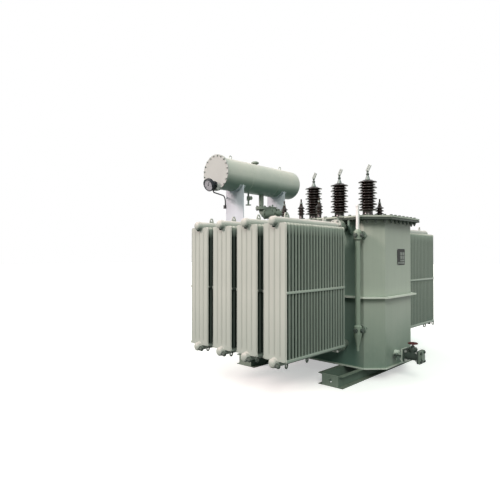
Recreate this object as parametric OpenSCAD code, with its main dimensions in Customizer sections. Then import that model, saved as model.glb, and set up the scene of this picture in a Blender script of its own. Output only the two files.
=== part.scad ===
// Oil-immersed distribution transformer on a skid base, with plate radiators along
// both long sides, porcelain bushings on the cover and an oil conservator at one end.
// Millimetres, +Z up. X runs along the tank, the drain valve is at the +X end, the
// conservator lies across the -X end. The origin is on the ground under the tank's centre.

/* [Skids] */
// Height of the skid channels
skid_h = 126; // [100:2:180]
// Width of a channel flange
skid_flange = 53; // [45:1:75]
// Thickness of a channel web
skid_web_t = 5.5; // [4:0.5:9]
// Mean thickness of a channel flange
skid_flange_t = 9; // [6:0.5:13]
// Clear distance between the two webs of one skid
skid_gap = 198; // [140:2:240]
// Length of a skid
skid_l = 1905; // [1600:5:2200]
// Distance between the centre lines of the two skids
skid_gauge = 1260; // [1000:10:1400]
// Thickness of the end plates between the webs
skid_end_t = 12; // [8:1:20]
// Diameter of the towing holes
tow_d = 40; // [25:1:50]
// Diameter of the anchor holes
anchor_d = 22; // [14:1:26]
// Distance from a skid's end to its anchor hole
anchor_inset = 150; // [80:5:300]

/* [Tank] */
// Length of the tank walls
tank_l = 1908; // [1700:4:2100]
// Width of the tank walls
tank_w = 1016; // [900:4:1200]
// Leg of the four corner cuts
corner_cut = 172; // [120:2:220]
// Height of the tank walls
wall_h = 1658; // [1500:2:1900]
// Thickness of the bottom plate
floor_t = 12; // [8:1:20]
// Overhang of the bottom plate
floor_lip = 20; // [10:1:40]
// Height of the stiffening band above the bottom plate
band_up = 779; // [600:5:950]
// Thickness of the stiffening band
band_t = 16; // [10:1:24]
// Overhang of the stiffening band
band_out = 62; // [40:1:80]
// Thickness of the rim flange
rim_t = 20; // [14:1:28]
// Overhang of the rim flange and the cover
rim_out = 98; // [80:1:120]
// Thickness of the cover gasket
gasket_t = 6; // [3:1:10]
// Distance of the gasket's edge inside the rim
gasket_in = 8; // [4:1:20]
// Thickness of the cover
cover_t = 18; // [12:1:26]

/* [Lifting lugs] */
// Clearance between a lug and the radiator valve beside it
lug_gap = 11; // [6:1:40]
// Reach of a lug from the wall
lug_out = 92; // [70:1:110]
// Height of a lug
lug_h = 150; // [110:5:200]
// Thickness of a lug
lug_t = 20; // [12:1:30]
// Diameter of the lifting hole
lug_d = 42; // [25:1:50]

/* [Radiators] */
// Distance between neighbouring radiators
rad_pitch = 366; // [340:2:400]
// Distance from the tank wall to the first fin
rad_gap = 255; // [200:5:320]
// Width of a fin
fin_w = 286; // [240:2:310]
// Number of fins in a radiator
fin_n = 21; // [12:1:24]
// Distance between fins
fin_pitch = 50; // [40:1:55]
// Thickness of a fin over its flutes
fin_t = 15; // [10:0.5:18]
// Thickness of a fin at its seams
seam_t = 6; // [3:0.5:8]
// Width of the edge seams
seam_w = 7; // [4:1:12]
// Number of flutes in a fin
flutes = 4; // [3:1:6]
// Width of a groove between flutes at the surface
groove_w = 20; // [12:1:26]
// Width of a groove at its floor
groove_floor = 7; // [4:1:10]
// Height of the lower header above the ground
header_z = 384; // [330:2:450]
// Distance between the two headers
header_span = 1340; // [1100:10:1360]
// Diameter of the header pipes
header_d = 89; // [60:1:108]
// Height of a fin beyond the header's centre
fin_end = -18; // [-24:1:30]
// Leg of the fins' corner cuts
fin_corner = 12; // [6:1:30]
// Distance from the header to the start of the flutes
fin_neck = 62; // [56:1:90]
// Reach of the header beyond the outer fin
header_out = 55; // [35:1:80]
// Height of the tie bars along the fins
tie_h = 25; // [16:1:40]
// Thickness of the tie bars
tie_t = 6; // [4:0.5:10]
// Height of the middle tie bar above the lower header
tie_up = 664; // [500:2:800]
// Diameter of the header and valve flanges
rad_flange_d = 150; // [120:2:170]
// Thickness of the header and valve flanges
rad_flange_t = 16; // [10:1:22]
// Distance from the first fin to the flange joint
rad_joint = 52; // [40:1:80]
// Diameter of the radiator valve's body
valve_d = 124; // [100:2:140]
// Length of the radiator valve's body
valve_l = 46; // [30:1:70]

/* [High-voltage bushings] */
// Distance between the high-voltage bushings
hv_pitch = 425; // [360:5:480]
// Distance of the row inside the tank's side
hv_in = 258; // [200:2:300]
// Diameter of the mounting flange
hv_flange_d = 236; // [200:2:280]
// Thickness of the mounting flange
hv_flange_t = 26; // [16:1:36]
// Height of the porcelain
hv_h = 506; // [470:2:620]
// Diameter of the porcelain core
hv_core_d = 130; // [100:2:140]
// Diameter of the large sheds
hv_shed_d = 240; // [200:2:270]
// Diameter of the small sheds
hv_small_d = 200; // [160:2:220]
// Number of large sheds
hv_sheds = 6; // [4:1:7]
// Distance between large sheds
hv_shed_pitch = 72; // [64:1:84]
// Height of the first large shed above the flange
hv_first = 120; // [100:2:150]
// Height of the metal cap
hv_cap_h = 62; // [40:1:90]
// Diameter of the metal cap
hv_cap_d = 66; // [50:1:84]
// Diameter of the ball above the cap
hv_ball_d = 36; // [26:1:44]
// Diameter of the terminal stem
hv_stem_d = 22; // [14:1:30]
// Length of the terminal stem above the cap
hv_stem_l = 72; // [50:1:110]
// Width of a terminal flag
hv_flag_w = 42; // [30:1:60]
// Thickness of a terminal flag
hv_flag_t = 14; // [8:1:20]
// Length of a terminal flag
hv_flag_l = 88; // [70:1:120]
// Diameter of the holes in a terminal flag
hv_hole_d = 14; // [9:1:18]
// Slant of the terminal flags
hv_flag_tilt = 28; // [0:1:45]

/* [Low-voltage bushings] */
// Distance between the low-voltage bushings
lv_pitch = 287; // [240:1:320]
// Position of the middle low-voltage bushing
lv_x = -275; // [-320:5:-220]
// Distance of the row inside the tank's side
lv_in = 258; // [200:2:300]
// Diameter of the mounting flange
lv_flange_d = 122; // [100:1:150]
// Thickness of the mounting flange
lv_flange_t = 14; // [8:1:22]
// Height of the porcelain
lv_h = 166; // [160:1:220]
// Diameter of the porcelain core
lv_core_d = 56; // [44:1:66]
// Diameter of the sheds
lv_shed_d = 96; // [80:1:120]
// Number of sheds
lv_sheds = 3; // [2:1:4]
// Distance between sheds
lv_shed_pitch = 38; // [34:1:42]
// Height of the porcelain cone above the top shed
lv_cone_h = 36; // [24:1:50]
// Diameter of the metal cap
lv_cap_d = 42; // [34:1:54]
// Height of the metal cap
lv_cap_h = 22; // [14:1:36]
// Diameter of the terminal stud
lv_stud_d = 20; // [12:1:24]
// Length of the stud above the cap
lv_stud_l = 62; // [50:1:100]
// Position of the neutral bushing along the tank
neutral_x = 496; // [440:2:540]
// Number of sheds on the neutral bushing
neutral_sheds = 4; // [3:1:4]
// Diameter of the sheds on the neutral bushing
neutral_shed_d = 112; // [90:1:124]
// Distance of the neutral bushing inside the tank's side
neutral_in = 68; // [50:2:90]

/* [Conservator] */
// Distance from the tank's end to the drum's axis
cons_off = 361; // [330:1:420]
// Height of the drum's axis above the cover
cons_up = 712; // [620:2:820]
// Diameter of the drum
cons_d = 452; // [380:2:520]
// Length of the drum over its ends
cons_l = 1684; // [1500:4:1900]
// Radius of the rear end's knuckle
cons_knuckle = 60; // [30:1:90]
// Diameter of the bolted end flange
cons_flange_d = 508; // [490:2:580]
// Thickness of the end flange
cons_flange_t = 16; // [10:1:24]
// Thickness of the end plate
cons_plate_t = 14; // [10:1:20]
// Distance of the two supports inside the tank's sides
support_in = 43; // [30:1:90]
// Width of a support
support_w = 360; // [300:5:420]
// Thickness of a support
support_t = 12; // [8:1:20]
// Width of the saddles under the drum
saddle_w = 110; // [80:2:160]
// Thickness of the saddles
saddle_t = 8; // [5:1:12]
// Angle of the drum that a saddle covers
saddle_a = 96; // [70:2:120]
// Clearance between the drum and what sits against it
seat_gap = 0.3; // [0.2:0.1:1]
// Height of the supports' foot on the tank wall
foot_h = 520; // [400:10:700]
// Distance of the lifting eyes from the middle
eye_y = 558; // [480:2:640]
// Bend radius of the lifting eyes
eye_r = 24; // [18:1:34]
// Diameter of the lifting eyes' bar
eye_d = 13; // [8:1:18]
// Diameter of the filler cap
filler_d = 118; // [90:1:150]
// Position of the filler cap along the drum
filler_y = -32; // [-80:2:80]

/* [Oil gauge] */
// Height of the gauge below the drum's axis
gauge_down = 172; // [150:1:180]
// Diameter of the gauge's case
gauge_d = 178; // [150:1:200]
// Depth of the gauge's case
gauge_t = 46; // [30:1:60]
// Length of the gauge's neck
gauge_neck_l = 84; // [70:1:110]
// Diameter of the gauge's neck
gauge_neck_d = 72; // [50:1:80]
// Downward slant of the dial
gauge_tilt = 25; // [0:1:35]
// Radial clearance of the dial in its case
dial_gap = 0.3; // [0.2:0.1:1]
// Diameter of the lead's conduit
lead_d = 18; // [12:1:24]
// Height of the conduit's clip on the support above the cover
clip_up = 296; // [240:2:330]

/* [Gas relay piping] */
// Diameter of the pipes
pipe_d = 76; // [60:1:89]
// Position of the riser along the drum
riser_y = 110; // [60:5:160]
// Height of the horizontal run above the cover
run_up = 185; // [160:1:240]
// Bend radius of the elbows
bend_r = 80; // [70:1:110]
// Diameter of the pipe flanges
pipe_flange_d = 176; // [130:2:194]
// Thickness of the pipe flanges
pipe_flange_t = 20; // [12:1:26]
// Length of the gas relay between its flange faces
relay_l = 210; // [170:2:240]
// Diameter of the gas relay's body
relay_d = 124; // [100:2:140]
// Length of the relay's box
relay_box_l = 116; // [90:2:130]
// Width of the relay's box
relay_box_w = 104; // [80:2:130]
// Height of the relay's box above its body
relay_box_h = 28; // [16:1:44]
// Edge of the relay's lid over its box
relay_lid = 8; // [4:1:12]
// Distance of the pipe's foot from the tank's end
foot_in = 150; // [120:2:200]

/* [Conservator drain] */
// Position of the drain along the drum
cock_y = -180; // [-240:5:-120]
// Length of the drain below the drum
cock_l = 180; // [140:5:220]
// Diameter of the drain pipe
cock_d = 27; // [18:1:34]

/* [Oil filter] */
// Distance of the filter from the tank's +X end
filter_in = 166; // [150:1:200]
// Distance of the filter's axis from the wall
filter_off = 138; // [124:1:170]
// Diameter of the filter's slim body
filter_d = 54; // [40:1:70]
// Diameter of the filter's heads at the branches
filter_head_d = 86; // [74:1:100]
// Height of a filter head
filter_head_h = 84; // [64:1:110]
// Height of the cone under the filter
filter_cone_h = 138; // [100:2:180]
// Diameter of the plug under the cone
filter_plug_d = 30; // [20:1:40]
// Height of the plug under the cone
filter_plug_h = 44; // [30:1:60]
// Height of the lower branch above the ground
branch_lo = 578; // [500:2:650]
// Height of the upper branch above the ground
branch_hi = 1615; // [1500:5:1650]
// Diameter of the branch pipes
branch_d = 48; // [34:1:60]
// Diameter of the branch flanges
branch_flange_d = 104; // [80:1:120]
// Thickness of the branch flanges, as a pair
branch_flange_t = 32; // [20:1:44]
// Distance from a filter head to its branch flange
branch_clear = 22; // [10:1:36]
// Diameter of the vent pipe
vent_d = 36; // [26:1:48]
// Height of the vent pipe above the cover
vent_up = 110; // [60:5:180]

/* [Drain valve] */
// Distance of the drain from the tank's middle
drain_y = -90; // [-160:5:0]
// Height of the drain above the bottom plate
drain_up = 130; // [100:1:170]
// Length of the neck from the tank to its flange
neck_l = 100; // [80:1:140]
// Diameter of the neck
neck_d = 76; // [50:1:90]
// Side of the square flanges
drain_flange_w = 140; // [120:1:170]
// Thickness of the square flanges
drain_flange_t = 18; // [12:1:24]
// Diameter of the raised face on the blank flange
blank_face_d = 84; // [70:1:100]
// Height of the raised face on the blank flange
blank_face_t = 14; // [6:1:20]
// Length of the valve over its flanges
drain_l = 180; // [160:1:220]
// Diameter of the handwheel
wheel_d = 112; // [90:1:140]
// Diameter of the handwheel's rim
wheel_rim_d = 14; // [10:1:18]
// Height of the handwheel above the valve's axis
wheel_up = 138; // [130:1:170]
// Diameter of the stem
stem_d = 16; // [12:1:20]
// Radial clearance of the stem in the bonnet
stem_gap = 0.05; // [0.02:0.01:0.1]

/* [Nameplate] */
// Width of the plate
plate_w = 204; // [160:2:260]
// Height of the plate
plate_h = 190; // [150:2:240]
// Thickness of the plate
plate_t = 3; // [2:0.5:6]
// Distance of the plate from the tank's middle
plate_y = 70; // [0:5:120]
// Height of the plate's centre above the bottom plate
plate_up = 1239; // [1100:5:1350]

/* [Hidden] */
$fn = 64;
z_floor = skid_h;
z_wall = z_floor + floor_t;
z_rim = z_wall + wall_h;
z_gasket = z_rim + rim_t;
z_cover = z_gasket + gasket_t;
z_top = z_cover + cover_t;
lug_x = 1.5 * rad_pitch + rad_flange_d / 2 + lug_gap + lug_t / 2;
hv_y = tank_w / 2 - hv_in;
lv_y = tank_w / 2 - lv_in;
neutral_y = tank_w / 2 - neutral_in;
skid_half = skid_gap / 2 + skid_web_t;
anchor_x = skid_gauge / 2 + skid_half + (skid_flange - skid_web_t) / 2;
flute_p = (fin_w - 2 * seam_w) / flutes;
flute_z = header_z + fin_neck;
flute_h = header_span - 2 * fin_neck;
pack_l = (fin_n - 1) * fin_pitch;
joint_y = fin_t / 2 + rad_joint;
cons_x = -tank_l / 2 - cons_off;
cons_z = z_top + cons_up;
cons_r = cons_d / 2;
support_y = tank_w / 2 - support_in;
run_z = z_top + run_up;
relay_x = cons_x + bend_r + pipe_flange_t;
foot_x = -tank_l / 2 + foot_in;
gauge_x = cons_x - 15;
gauge_z = cons_z - gauge_down;
gauge_y = -cons_l / 2 - gauge_neck_l;
filter_x = tank_l / 2 - filter_in;
vent_z = branch_hi + filter_head_h / 2 + filter_head_d / 2 - vent_d / 2;
filter_y = -tank_w / 2 - filter_off;
drain_x = tank_l / 2 + neck_l + drain_flange_t;
drain_z = z_wall + drain_up;
stem_x = drain_x + drain_l / 2;
blank_x = drain_x + drain_l;

// The tank's plan outline, moved outwards by o
module tank_outline(o = 0) {
  l = tank_l / 2 + o;
  w = tank_w / 2 + o;
  c = corner_cut + o * (2 - sqrt(2));
  polygon([[l - c, -w], [l, c - w], [l, w - c], [l - c, w],
    [c - l, w], [-l, w - c], [-l, c - w], [c - l, -w]]);
}

module tank_ring(o, z, t) {
  translate([0, 0, z]) linear_extrude(t) difference() {
    tank_outline(o);
    tank_outline();
  }
}

// A cylinder from the point p along X or Y
module along_x(p, d, l) {
  translate(p) rotate([0, 90, 0]) cylinder(d = d, h = l);
}

module along_y(p, d, l) {
  translate(p) rotate([-90, 0, 0]) cylinder(d = d, h = l);
}

// Skids: two channels with their webs facing inwards and an end plate between them at each end
module channel_2d() {
  tip = skid_flange_t * 0.78;
  root = skid_flange_t * 1.22;
  polygon([[0, 0], [skid_flange, 0], [skid_flange, tip], [skid_web_t, root], [skid_web_t, skid_h - root],
    [skid_flange, skid_h - tip], [skid_flange, skid_h], [0, skid_h]]);
}

module at_skids() for (s = [-1, 1]) translate([s * skid_gauge / 2, 0, 0]) children();

module skid_channels() color([0.33, 0.39, 0.34]) difference() {
  at_skids() for (s = [0, 1]) mirror([s, 0, 0]) translate([skid_gap / 2, 0, 0])
    rotate([90, 0, 0]) linear_extrude(skid_l, center = true) channel_2d();
  for (x = [-1, 1], y = [-1, 1]) translate([x * anchor_x, y * (skid_l / 2 - anchor_inset), -1])
    cylinder(d = anchor_d, h = skid_flange_t * 2);
}

module skid_end_plates() color([0.33, 0.39, 0.34])
  at_skids() for (s = [0, 1]) mirror([0, s, 0]) difference() {
    translate([-skid_gap / 2, skid_l / 2 - skid_end_t, 0]) cube([skid_gap, skid_end_t, skid_h]);
    along_y([0, skid_l / 2 - skid_end_t * 2, skid_h / 2], tow_d, skid_end_t * 3);
  }

// Tank: bottom plate, body, stiffening band, rim, gasket and cover
module tank_bottom_plate() color([0.5, 0.57, 0.51])
  translate([0, 0, z_floor]) linear_extrude(floor_t) tank_outline(floor_lip);

module tank_body() color([0.58, 0.64, 0.57])
  translate([0, 0, z_wall]) linear_extrude(z_cover - z_wall) tank_outline();

module tank_band() color([0.58, 0.64, 0.57]) tank_ring(band_out, z_wall + band_up, band_t);
module tank_rim_flange() color([0.58, 0.64, 0.57]) tank_ring(rim_out, z_rim, rim_t);
module cover_gasket() color([0.12, 0.12, 0.12]) tank_ring(rim_out - gasket_in, z_gasket, gasket_t);

module tank_cover() color([0.58, 0.64, 0.57])
  translate([0, 0, z_cover]) linear_extrude(cover_t) tank_outline(rim_out);

module tank_lifting_lugs() color([0.58, 0.64, 0.57])
  for (s = [-1, 1], e = [-1, 1]) mirror([0, s < 0 ? 1 : 0, 0])
    translate([e * lug_x - lug_t / 2, tank_w / 2, z_rim]) rotate([90, 0, 90])
    linear_extrude(lug_t) difference() {
      polygon([[0, 0], [lug_out, 0], [lug_out, -lug_h * 0.42], [lug_out * 0.45, -lug_h], [0, -lug_h]]);
      translate([lug_out * 0.52, -lug_h * 0.36]) circle(d = lug_d);
    }

// Radiators: fluted pressed fins on an upper and a lower header.
// In a radiator's own frame the first fin is at y = 0 and the pack grows towards -Y.
function flute_edge(s) = [for (i = [0:flutes - 1]) let (a = -fin_w / 2 + seam_w + i * flute_p)
  each [[a + groove_floor / 2, s * seam_t / 2], [a + groove_w / 2, s * fin_t / 2],
    [a + flute_p - groove_w / 2, s * fin_t / 2], [a + flute_p - groove_floor / 2, s * seam_t / 2]]];
function turned(v) = [for (i = [len(v) - 1:-1:0]) v[i]];

module fin_section() {
  polygon(concat([[-fin_w / 2, seam_t / 2]], flute_edge(1), [[fin_w / 2, seam_t / 2]],
    [[fin_w / 2, -seam_t / 2]], turned(flute_edge(-1)), [[-fin_w / 2, -seam_t / 2]]));
}

// The plain end of a fin around a header, drawn upwards from the flutes
module fin_head() {
  rise = fin_neck + fin_end;
  half = fin_w / 2 - 1;
  rotate([90, 0, 0]) linear_extrude(fin_t, center = true)
    polygon([[-half, 0], [half, 0], [half, rise - fin_corner], [half - fin_corner, rise],
      [fin_corner - half, rise], [-half, rise - fin_corner]]);
}

module fin() {
  translate([0, 0, flute_z]) linear_extrude(flute_h) fin_section();
  translate([0, 0, flute_z + flute_h]) fin_head();
  translate([0, 0, flute_z]) mirror([0, 0, 1]) fin_head();
}

module header(z) {
  reach = pack_l + fin_t / 2 + header_out;
  translate([0, joint_y, z]) rotate([90, 0, 0]) {
    cylinder(d = header_d, h = joint_y + reach - 14);
    translate([0, 0, joint_y + reach - 14]) cylinder(d1 = header_d, d2 = header_d - 26, h = 14);
    cylinder(d = rad_flange_d, h = rad_flange_t);
  }
}

// Lifting plate standing on the upper header
module header_lug(y) {
  translate([-5, y, header_z + header_span]) rotate([90, 0, 90]) linear_extrude(10) difference() {
    polygon([[-30, 0], [30, 0], [30, 58], [16, 94], [-16, 94], [-30, 58]]);
    translate([0, 70]) circle(d = 26);
  }
}

module tie_bar(z) {
  for (s = [0, 1]) mirror([s, 0, 0]) translate([fin_w / 2 - 2, -pack_l - fin_t / 2, z - tie_h / 2])
    cube([tie_t, pack_l + fin_t, tie_h]);
}

module radiator() color([0.66, 0.68, 0.63]) {
  for (k = [0:fin_n - 1]) translate([0, -k * fin_pitch, 0]) fin();
  header(header_z);
  header(header_z + header_span);
  header_lug(-0.17 * pack_l);
  header_lug(-0.83 * pack_l);
  tie_bar(header_z + tie_up);
  tie_bar(header_z - fin_end + tie_h / 2);
}

module front_radiator(i) translate([(i - 2.5) * rad_pitch, -tank_w / 2 - rad_gap, 0]) radiator();
module back_radiator(i) mirror([0, 1, 0]) front_radiator(i);
module radiator_front_1() front_radiator(1);
module radiator_front_2() front_radiator(2);
module radiator_front_3() front_radiator(3);
module radiator_front_4() front_radiator(4);
module radiator_back_1() back_radiator(1);
module radiator_back_2() back_radiator(2);
module radiator_back_3() back_radiator(3);
module radiator_back_4() back_radiator(4);

// Butterfly valve and neck between a header's flange and the tank wall
module radiator_valve() color([0.5, 0.57, 0.51]) {
  along_y([0, joint_y, 0], rad_flange_d, rad_flange_t);
  along_y([0, joint_y, 0], valve_d, rad_flange_t * 2 + valve_l);
  along_y([0, joint_y + rad_flange_t + valve_l, 0], rad_flange_d, rad_flange_t);
  along_y([0, joint_y, 0], header_d, rad_gap - joint_y);
  translate([0, joint_y + rad_flange_t + valve_l / 2, 0]) cylinder(d = 24, h = valve_d / 2 + 34);
}

module radiator_valves() {
  for (i = [1:4], z = [header_z, header_z + header_span])
    translate([(i - 2.5) * rad_pitch, -tank_w / 2 - rad_gap, z]) radiator_valve();
}

module radiator_valves_front() radiator_valves();
module radiator_valves_back() mirror([0, 1, 0]) radiator_valves();

// Bushings: shed profiles are turned about the bushing's axis.
// A shed at height h runs from the core's radius a to its own radius r.
function shed(a, r, h) = [[a, h - 12], [r - 6, h - 7], [r, h - 3], [r, h + 2], [r - 5, h + 6], [a, h + 22]];
function hv_edge() = [for (i = [0:hv_sheds - 1]) let (h = hv_first + i * hv_shed_pitch)
  each concat(shed(hv_core_d / 2, hv_shed_d / 2, h),
    i < hv_sheds - 1 ? shed(hv_core_d / 2, hv_small_d / 2, h + hv_shed_pitch / 2) : [])];
function lv_edge(n, r) = [for (i = [n - 1:-1:0])
  each shed(lv_core_d / 2, r, lv_h - i * lv_shed_pitch)];

module at_hv() for (i = [-1:1]) translate([i * hv_pitch, hv_y, z_top]) children();
module at_lv() for (i = [-1:1]) translate([lv_x + i * lv_pitch, -lv_y, z_top]) children();
module at_neutral() translate([neutral_x, neutral_y, z_top]) children();

module hv_flanges() color([0.5, 0.57, 0.51]) at_hv() cylinder(d = hv_flange_d, h = hv_flange_t);

module hv_porcelain() color([0.16, 0.11, 0.08]) at_hv() translate([0, 0, hv_flange_t]) rotate_extrude()
  polygon(concat([[0, 0], [hv_core_d / 2 + 18, 0], [hv_core_d / 2 + 18, 40], [hv_core_d / 2, 72]], hv_edge(),
    [[hv_core_d / 2, hv_h - 12], [hv_core_d / 2 - 12, hv_h], [0, hv_h]]));

module hv_terminals() color([0.7, 0.7, 0.68]) at_hv() translate([0, 0, hv_flange_t + hv_h]) {
  rotate_extrude() polygon([[0, 0], [hv_cap_d / 2, 0], [hv_cap_d / 2, hv_cap_h * 0.2],
    [hv_stem_d / 2 + 5, hv_cap_h], [hv_stem_d / 2, hv_cap_h], [hv_stem_d / 2, hv_cap_h + hv_stem_l],
    [0, hv_cap_h + hv_stem_l]]);
  translate([0, 0, hv_cap_h + hv_ball_d / 2]) sphere(d = hv_ball_d);
  translate([0, 0, hv_cap_h + hv_stem_l]) rotate([0, hv_flag_tilt, 0]) difference() {
    translate([-hv_flag_w / 2, -hv_flag_t / 2, -hv_flag_w / 3]) cube([hv_flag_w, hv_flag_t, hv_flag_l]);
    for (z = [0.28, 0.64]) along_y([0, -hv_flag_t, z * hv_flag_l], hv_hole_d, hv_flag_t * 2);
  }
}

module lv_flanges() color([0.5, 0.57, 0.51]) {
  at_lv() cylinder(d = lv_flange_d, h = lv_flange_t);
  at_neutral() cylinder(d = lv_flange_d, h = lv_flange_t);
}

module low_porcelain(n, r) {
  translate([0, 0, lv_flange_t]) rotate_extrude()
    polygon(concat([[0, 0], [lv_core_d / 2 + 10, 0], [lv_core_d / 2 + 10, 14], [lv_core_d / 2, 20]],
      lv_edge(n, r), [[lv_cap_d / 2, lv_h + lv_cone_h], [0, lv_h + lv_cone_h]]));
}

module low_terminal() {
  translate([0, 0, lv_flange_t + lv_h + lv_cone_h]) rotate_extrude()
    polygon([[0, 0], [lv_cap_d / 2, 0], [lv_cap_d / 2, lv_cap_h * 0.4], [lv_stud_d / 2 + 4, lv_cap_h],
      [lv_stud_d / 2, lv_cap_h], [lv_stud_d / 2, lv_cap_h + lv_stud_l], [0, lv_cap_h + lv_stud_l]]);
}

module lv_porcelain() color([0.16, 0.11, 0.08]) {
  at_lv() low_porcelain(lv_sheds, lv_shed_d / 2);
  at_neutral() low_porcelain(neutral_sheds, neutral_shed_d / 2);
}

module lv_terminals() color([0.75, 0.73, 0.66]) {
  at_lv() low_terminal();
  at_neutral() low_terminal();
}

// Conservator: a drum across the tank's end, with a bolted plate on its front end
module drum_space(gap) {
  along_y([cons_x, -cons_l, cons_z], cons_d + 2 * gap, 2 * cons_l);
}

module conservator_drum() color([0.66, 0.7, 0.65]) {
  l = cons_l - cons_plate_t;
  k = cons_knuckle;
  translate([cons_x, cons_plate_t - cons_l / 2, cons_z]) rotate([-90, 0, 0]) rotate_extrude() {
    square([cons_r, l - k]);
    square([cons_r - k, l]);
    translate([cons_r - k, l - k]) intersection() {
      circle(r = k);
      square(k);
    }
    square([cons_flange_d / 2, cons_flange_t]);
  }
}

module conservator_end_plate() color([0.8, 0.79, 0.76])
  along_y([cons_x, -cons_l / 2, cons_z], cons_flange_d, cons_plate_t);

module conservator_support(s) color([0.86, 0.86, 0.87]) {
  top = cons_z - cons_r * 0.6;
  under = z_rim - 24;
  difference() {
    translate([0, s * support_y, 0]) rotate([90, 0, 0]) linear_extrude(support_t, center = true)
      polygon([[cons_x - support_w / 2, top], [cons_x + support_w / 2, top], [cons_x + support_w / 2, under],
        [corner_cut - tank_l / 2, under], [corner_cut - tank_l / 2, under - foot_h],
        [-tank_l / 2, under - foot_h], [cons_x - support_w / 2, under - foot_h * 0.35]]);
    drum_space(saddle_t / 2);
    translate([0, 0, z_wall]) linear_extrude(wall_h) tank_outline();
  }
  translate([cons_x, s * support_y + saddle_w / 2, cons_z]) rotate([90, 0, 0])
    rotate([0, 0, 270 - saddle_a / 2]) rotate_extrude(angle = saddle_a)
    translate([cons_r + seat_gap, 0]) square([saddle_t, saddle_w]);
}

module conservator_supports() for (s = [-1, 1]) conservator_support(s);

module conservator_lifting_eyes() color([0.66, 0.7, 0.65])
  for (s = [-1, 1]) difference() {
    translate([cons_x, s * eye_y, cons_z + cons_r + 30]) {
      rotate([90, 0, 90]) rotate_extrude(angle = 180) translate([eye_r, 0]) circle(d = eye_d);
      for (e = [-1, 1]) translate([0, e * eye_r, -50]) cylinder(d = eye_d, h = 50);
    }
    drum_space(seat_gap);
  }

module filler_cap() color([0.4, 0.43, 0.4]) difference() {
  translate([cons_x, filler_y, cons_z + cons_r]) rotate_extrude()
    polygon([[0, -40], [filler_d * 0.3, -40], [filler_d * 0.3, 20], [filler_d / 2, 20], [filler_d / 2, 36],
      [filler_d * 0.32, 50], [0, 54]]);
  drum_space(seat_gap);
}

// Oil gauge on a neck at the foot of the end plate, with its dial turned down towards the ground
module gauge_frame() translate([gauge_x, gauge_y, gauge_z]) rotate([90 + gauge_tilt, 0, 0]) children();

module oil_gauge() color([0.24, 0.26, 0.3]) difference() {
  union() {
    along_y([gauge_x, gauge_y - 10, gauge_z], gauge_neck_d, gauge_neck_l + 10);
    along_y([gauge_x, -cons_l / 2 - 12, gauge_z], gauge_neck_d + 38, 12);
    gauge_frame() cylinder(d = gauge_d, h = gauge_t);
  }
  gauge_frame() translate([0, 0, gauge_t - 8]) cylinder(d = gauge_d - 26, h = 20);
}

module oil_gauge_dial() color([0.62, 0.62, 0.66])
  gauge_frame() translate([0, 0, gauge_t - 8]) cylinder(d = gauge_d - 26 - 2 * dial_gap, h = 4);

// The gauge's lead: from the neck down, under the end flange and down to a clip on the support's edge
module gauge_conduit() color([0.2, 0.2, 0.2]) {
  x0 = gauge_x;
  y0 = -cons_l / 2 - 12 - lead_d;
  z0 = gauge_z - gauge_neck_d / 2 - seat_gap;
  x1 = cons_x - support_w / 2 - 22;
  z1 = z_top + clip_up;
  zr = cons_z - cons_flange_d / 2 - lead_d / 2 - 14;
  run = sqrt((x1 - x0) * (x1 - x0) + (y0 + support_y) * (y0 + support_y));
  r0 = 32;
  r1 = 90;
  translate([x0, y0, 0]) rotate([0, 0, atan2(-support_y - y0, x1 - x0)]) {
    difference() {
      translate([0, 0, zr + r0]) cylinder(d = lead_d, h = z0 - zr - r0 + lead_d);
      translate([-gauge_neck_d, -gauge_neck_d, z0]) cube(gauge_neck_d * 2);
    }
    translate([r0, 0, zr + r0]) rotate([90, 0, 0]) rotate([0, 0, 180]) rotate_extrude(angle = 90)
      translate([r0, 0]) circle(d = lead_d);
    along_x([r0, 0, zr], lead_d, run - r0 - r1);
    translate([run - r1, 0, zr - r1]) rotate([90, 0, 0]) rotate_extrude(angle = 90)
      translate([r1, 0]) circle(d = lead_d);
    translate([run, 0, z1]) cylinder(d = lead_d, h = zr - r1 - z1);
  }
  translate([x1 - 20, -support_y - 20, z1 - 46]) cube([42, 40, 50]);
}

// Drain under the drum: pipe, cock with a small side wheel, blank flange
module conservator_drain() color([0.36, 0.42, 0.37]) {
  z = cons_z - cons_r;
  difference() {
    translate([cons_x, cock_y, z - cock_l]) cylinder(d = cock_d, h = cock_l + 20);
    drum_space(seat_gap);
  }
  translate([cons_x, cock_y, z - cock_l]) cylinder(d = 84, h = 12);
  translate([cons_x, cock_y, z - cock_l * 0.58]) cylinder(d = cock_d * 1.9, h = cock_l * 0.34);
  along_x([cons_x, cock_y, z - cock_l * 0.41], 16, 62);
  along_x([cons_x + 50, cock_y, z - cock_l * 0.41], 58, 10);
}

// Piping from the drum through the gas relay to the cover
module pipe_flange_z(x, z) {
  translate([x, riser_y, z]) cylinder(d = pipe_flange_d, h = pipe_flange_t);
}

module riser_pipe() color([0.5, 0.56, 0.51]) {
  z = run_z + bend_r + pipe_flange_t;
  difference() {
    translate([cons_x, riser_y, z]) cylinder(d = pipe_d, h = cons_z - z);
    drum_space(seat_gap);
  }
  pipe_flange_z(cons_x, z);
}

module relay_elbow() {
  pipe_flange_z(cons_x, run_z + bend_r);
  translate([cons_x + bend_r, riser_y, run_z + bend_r]) rotate([90, 0, 0]) rotate([0, 0, 180])
    rotate_extrude(angle = 90) translate([bend_r, 0]) circle(d = pipe_d);
  along_x([cons_x + bend_r, riser_y, run_z], pipe_flange_d * 0.82, pipe_flange_t);
}

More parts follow.
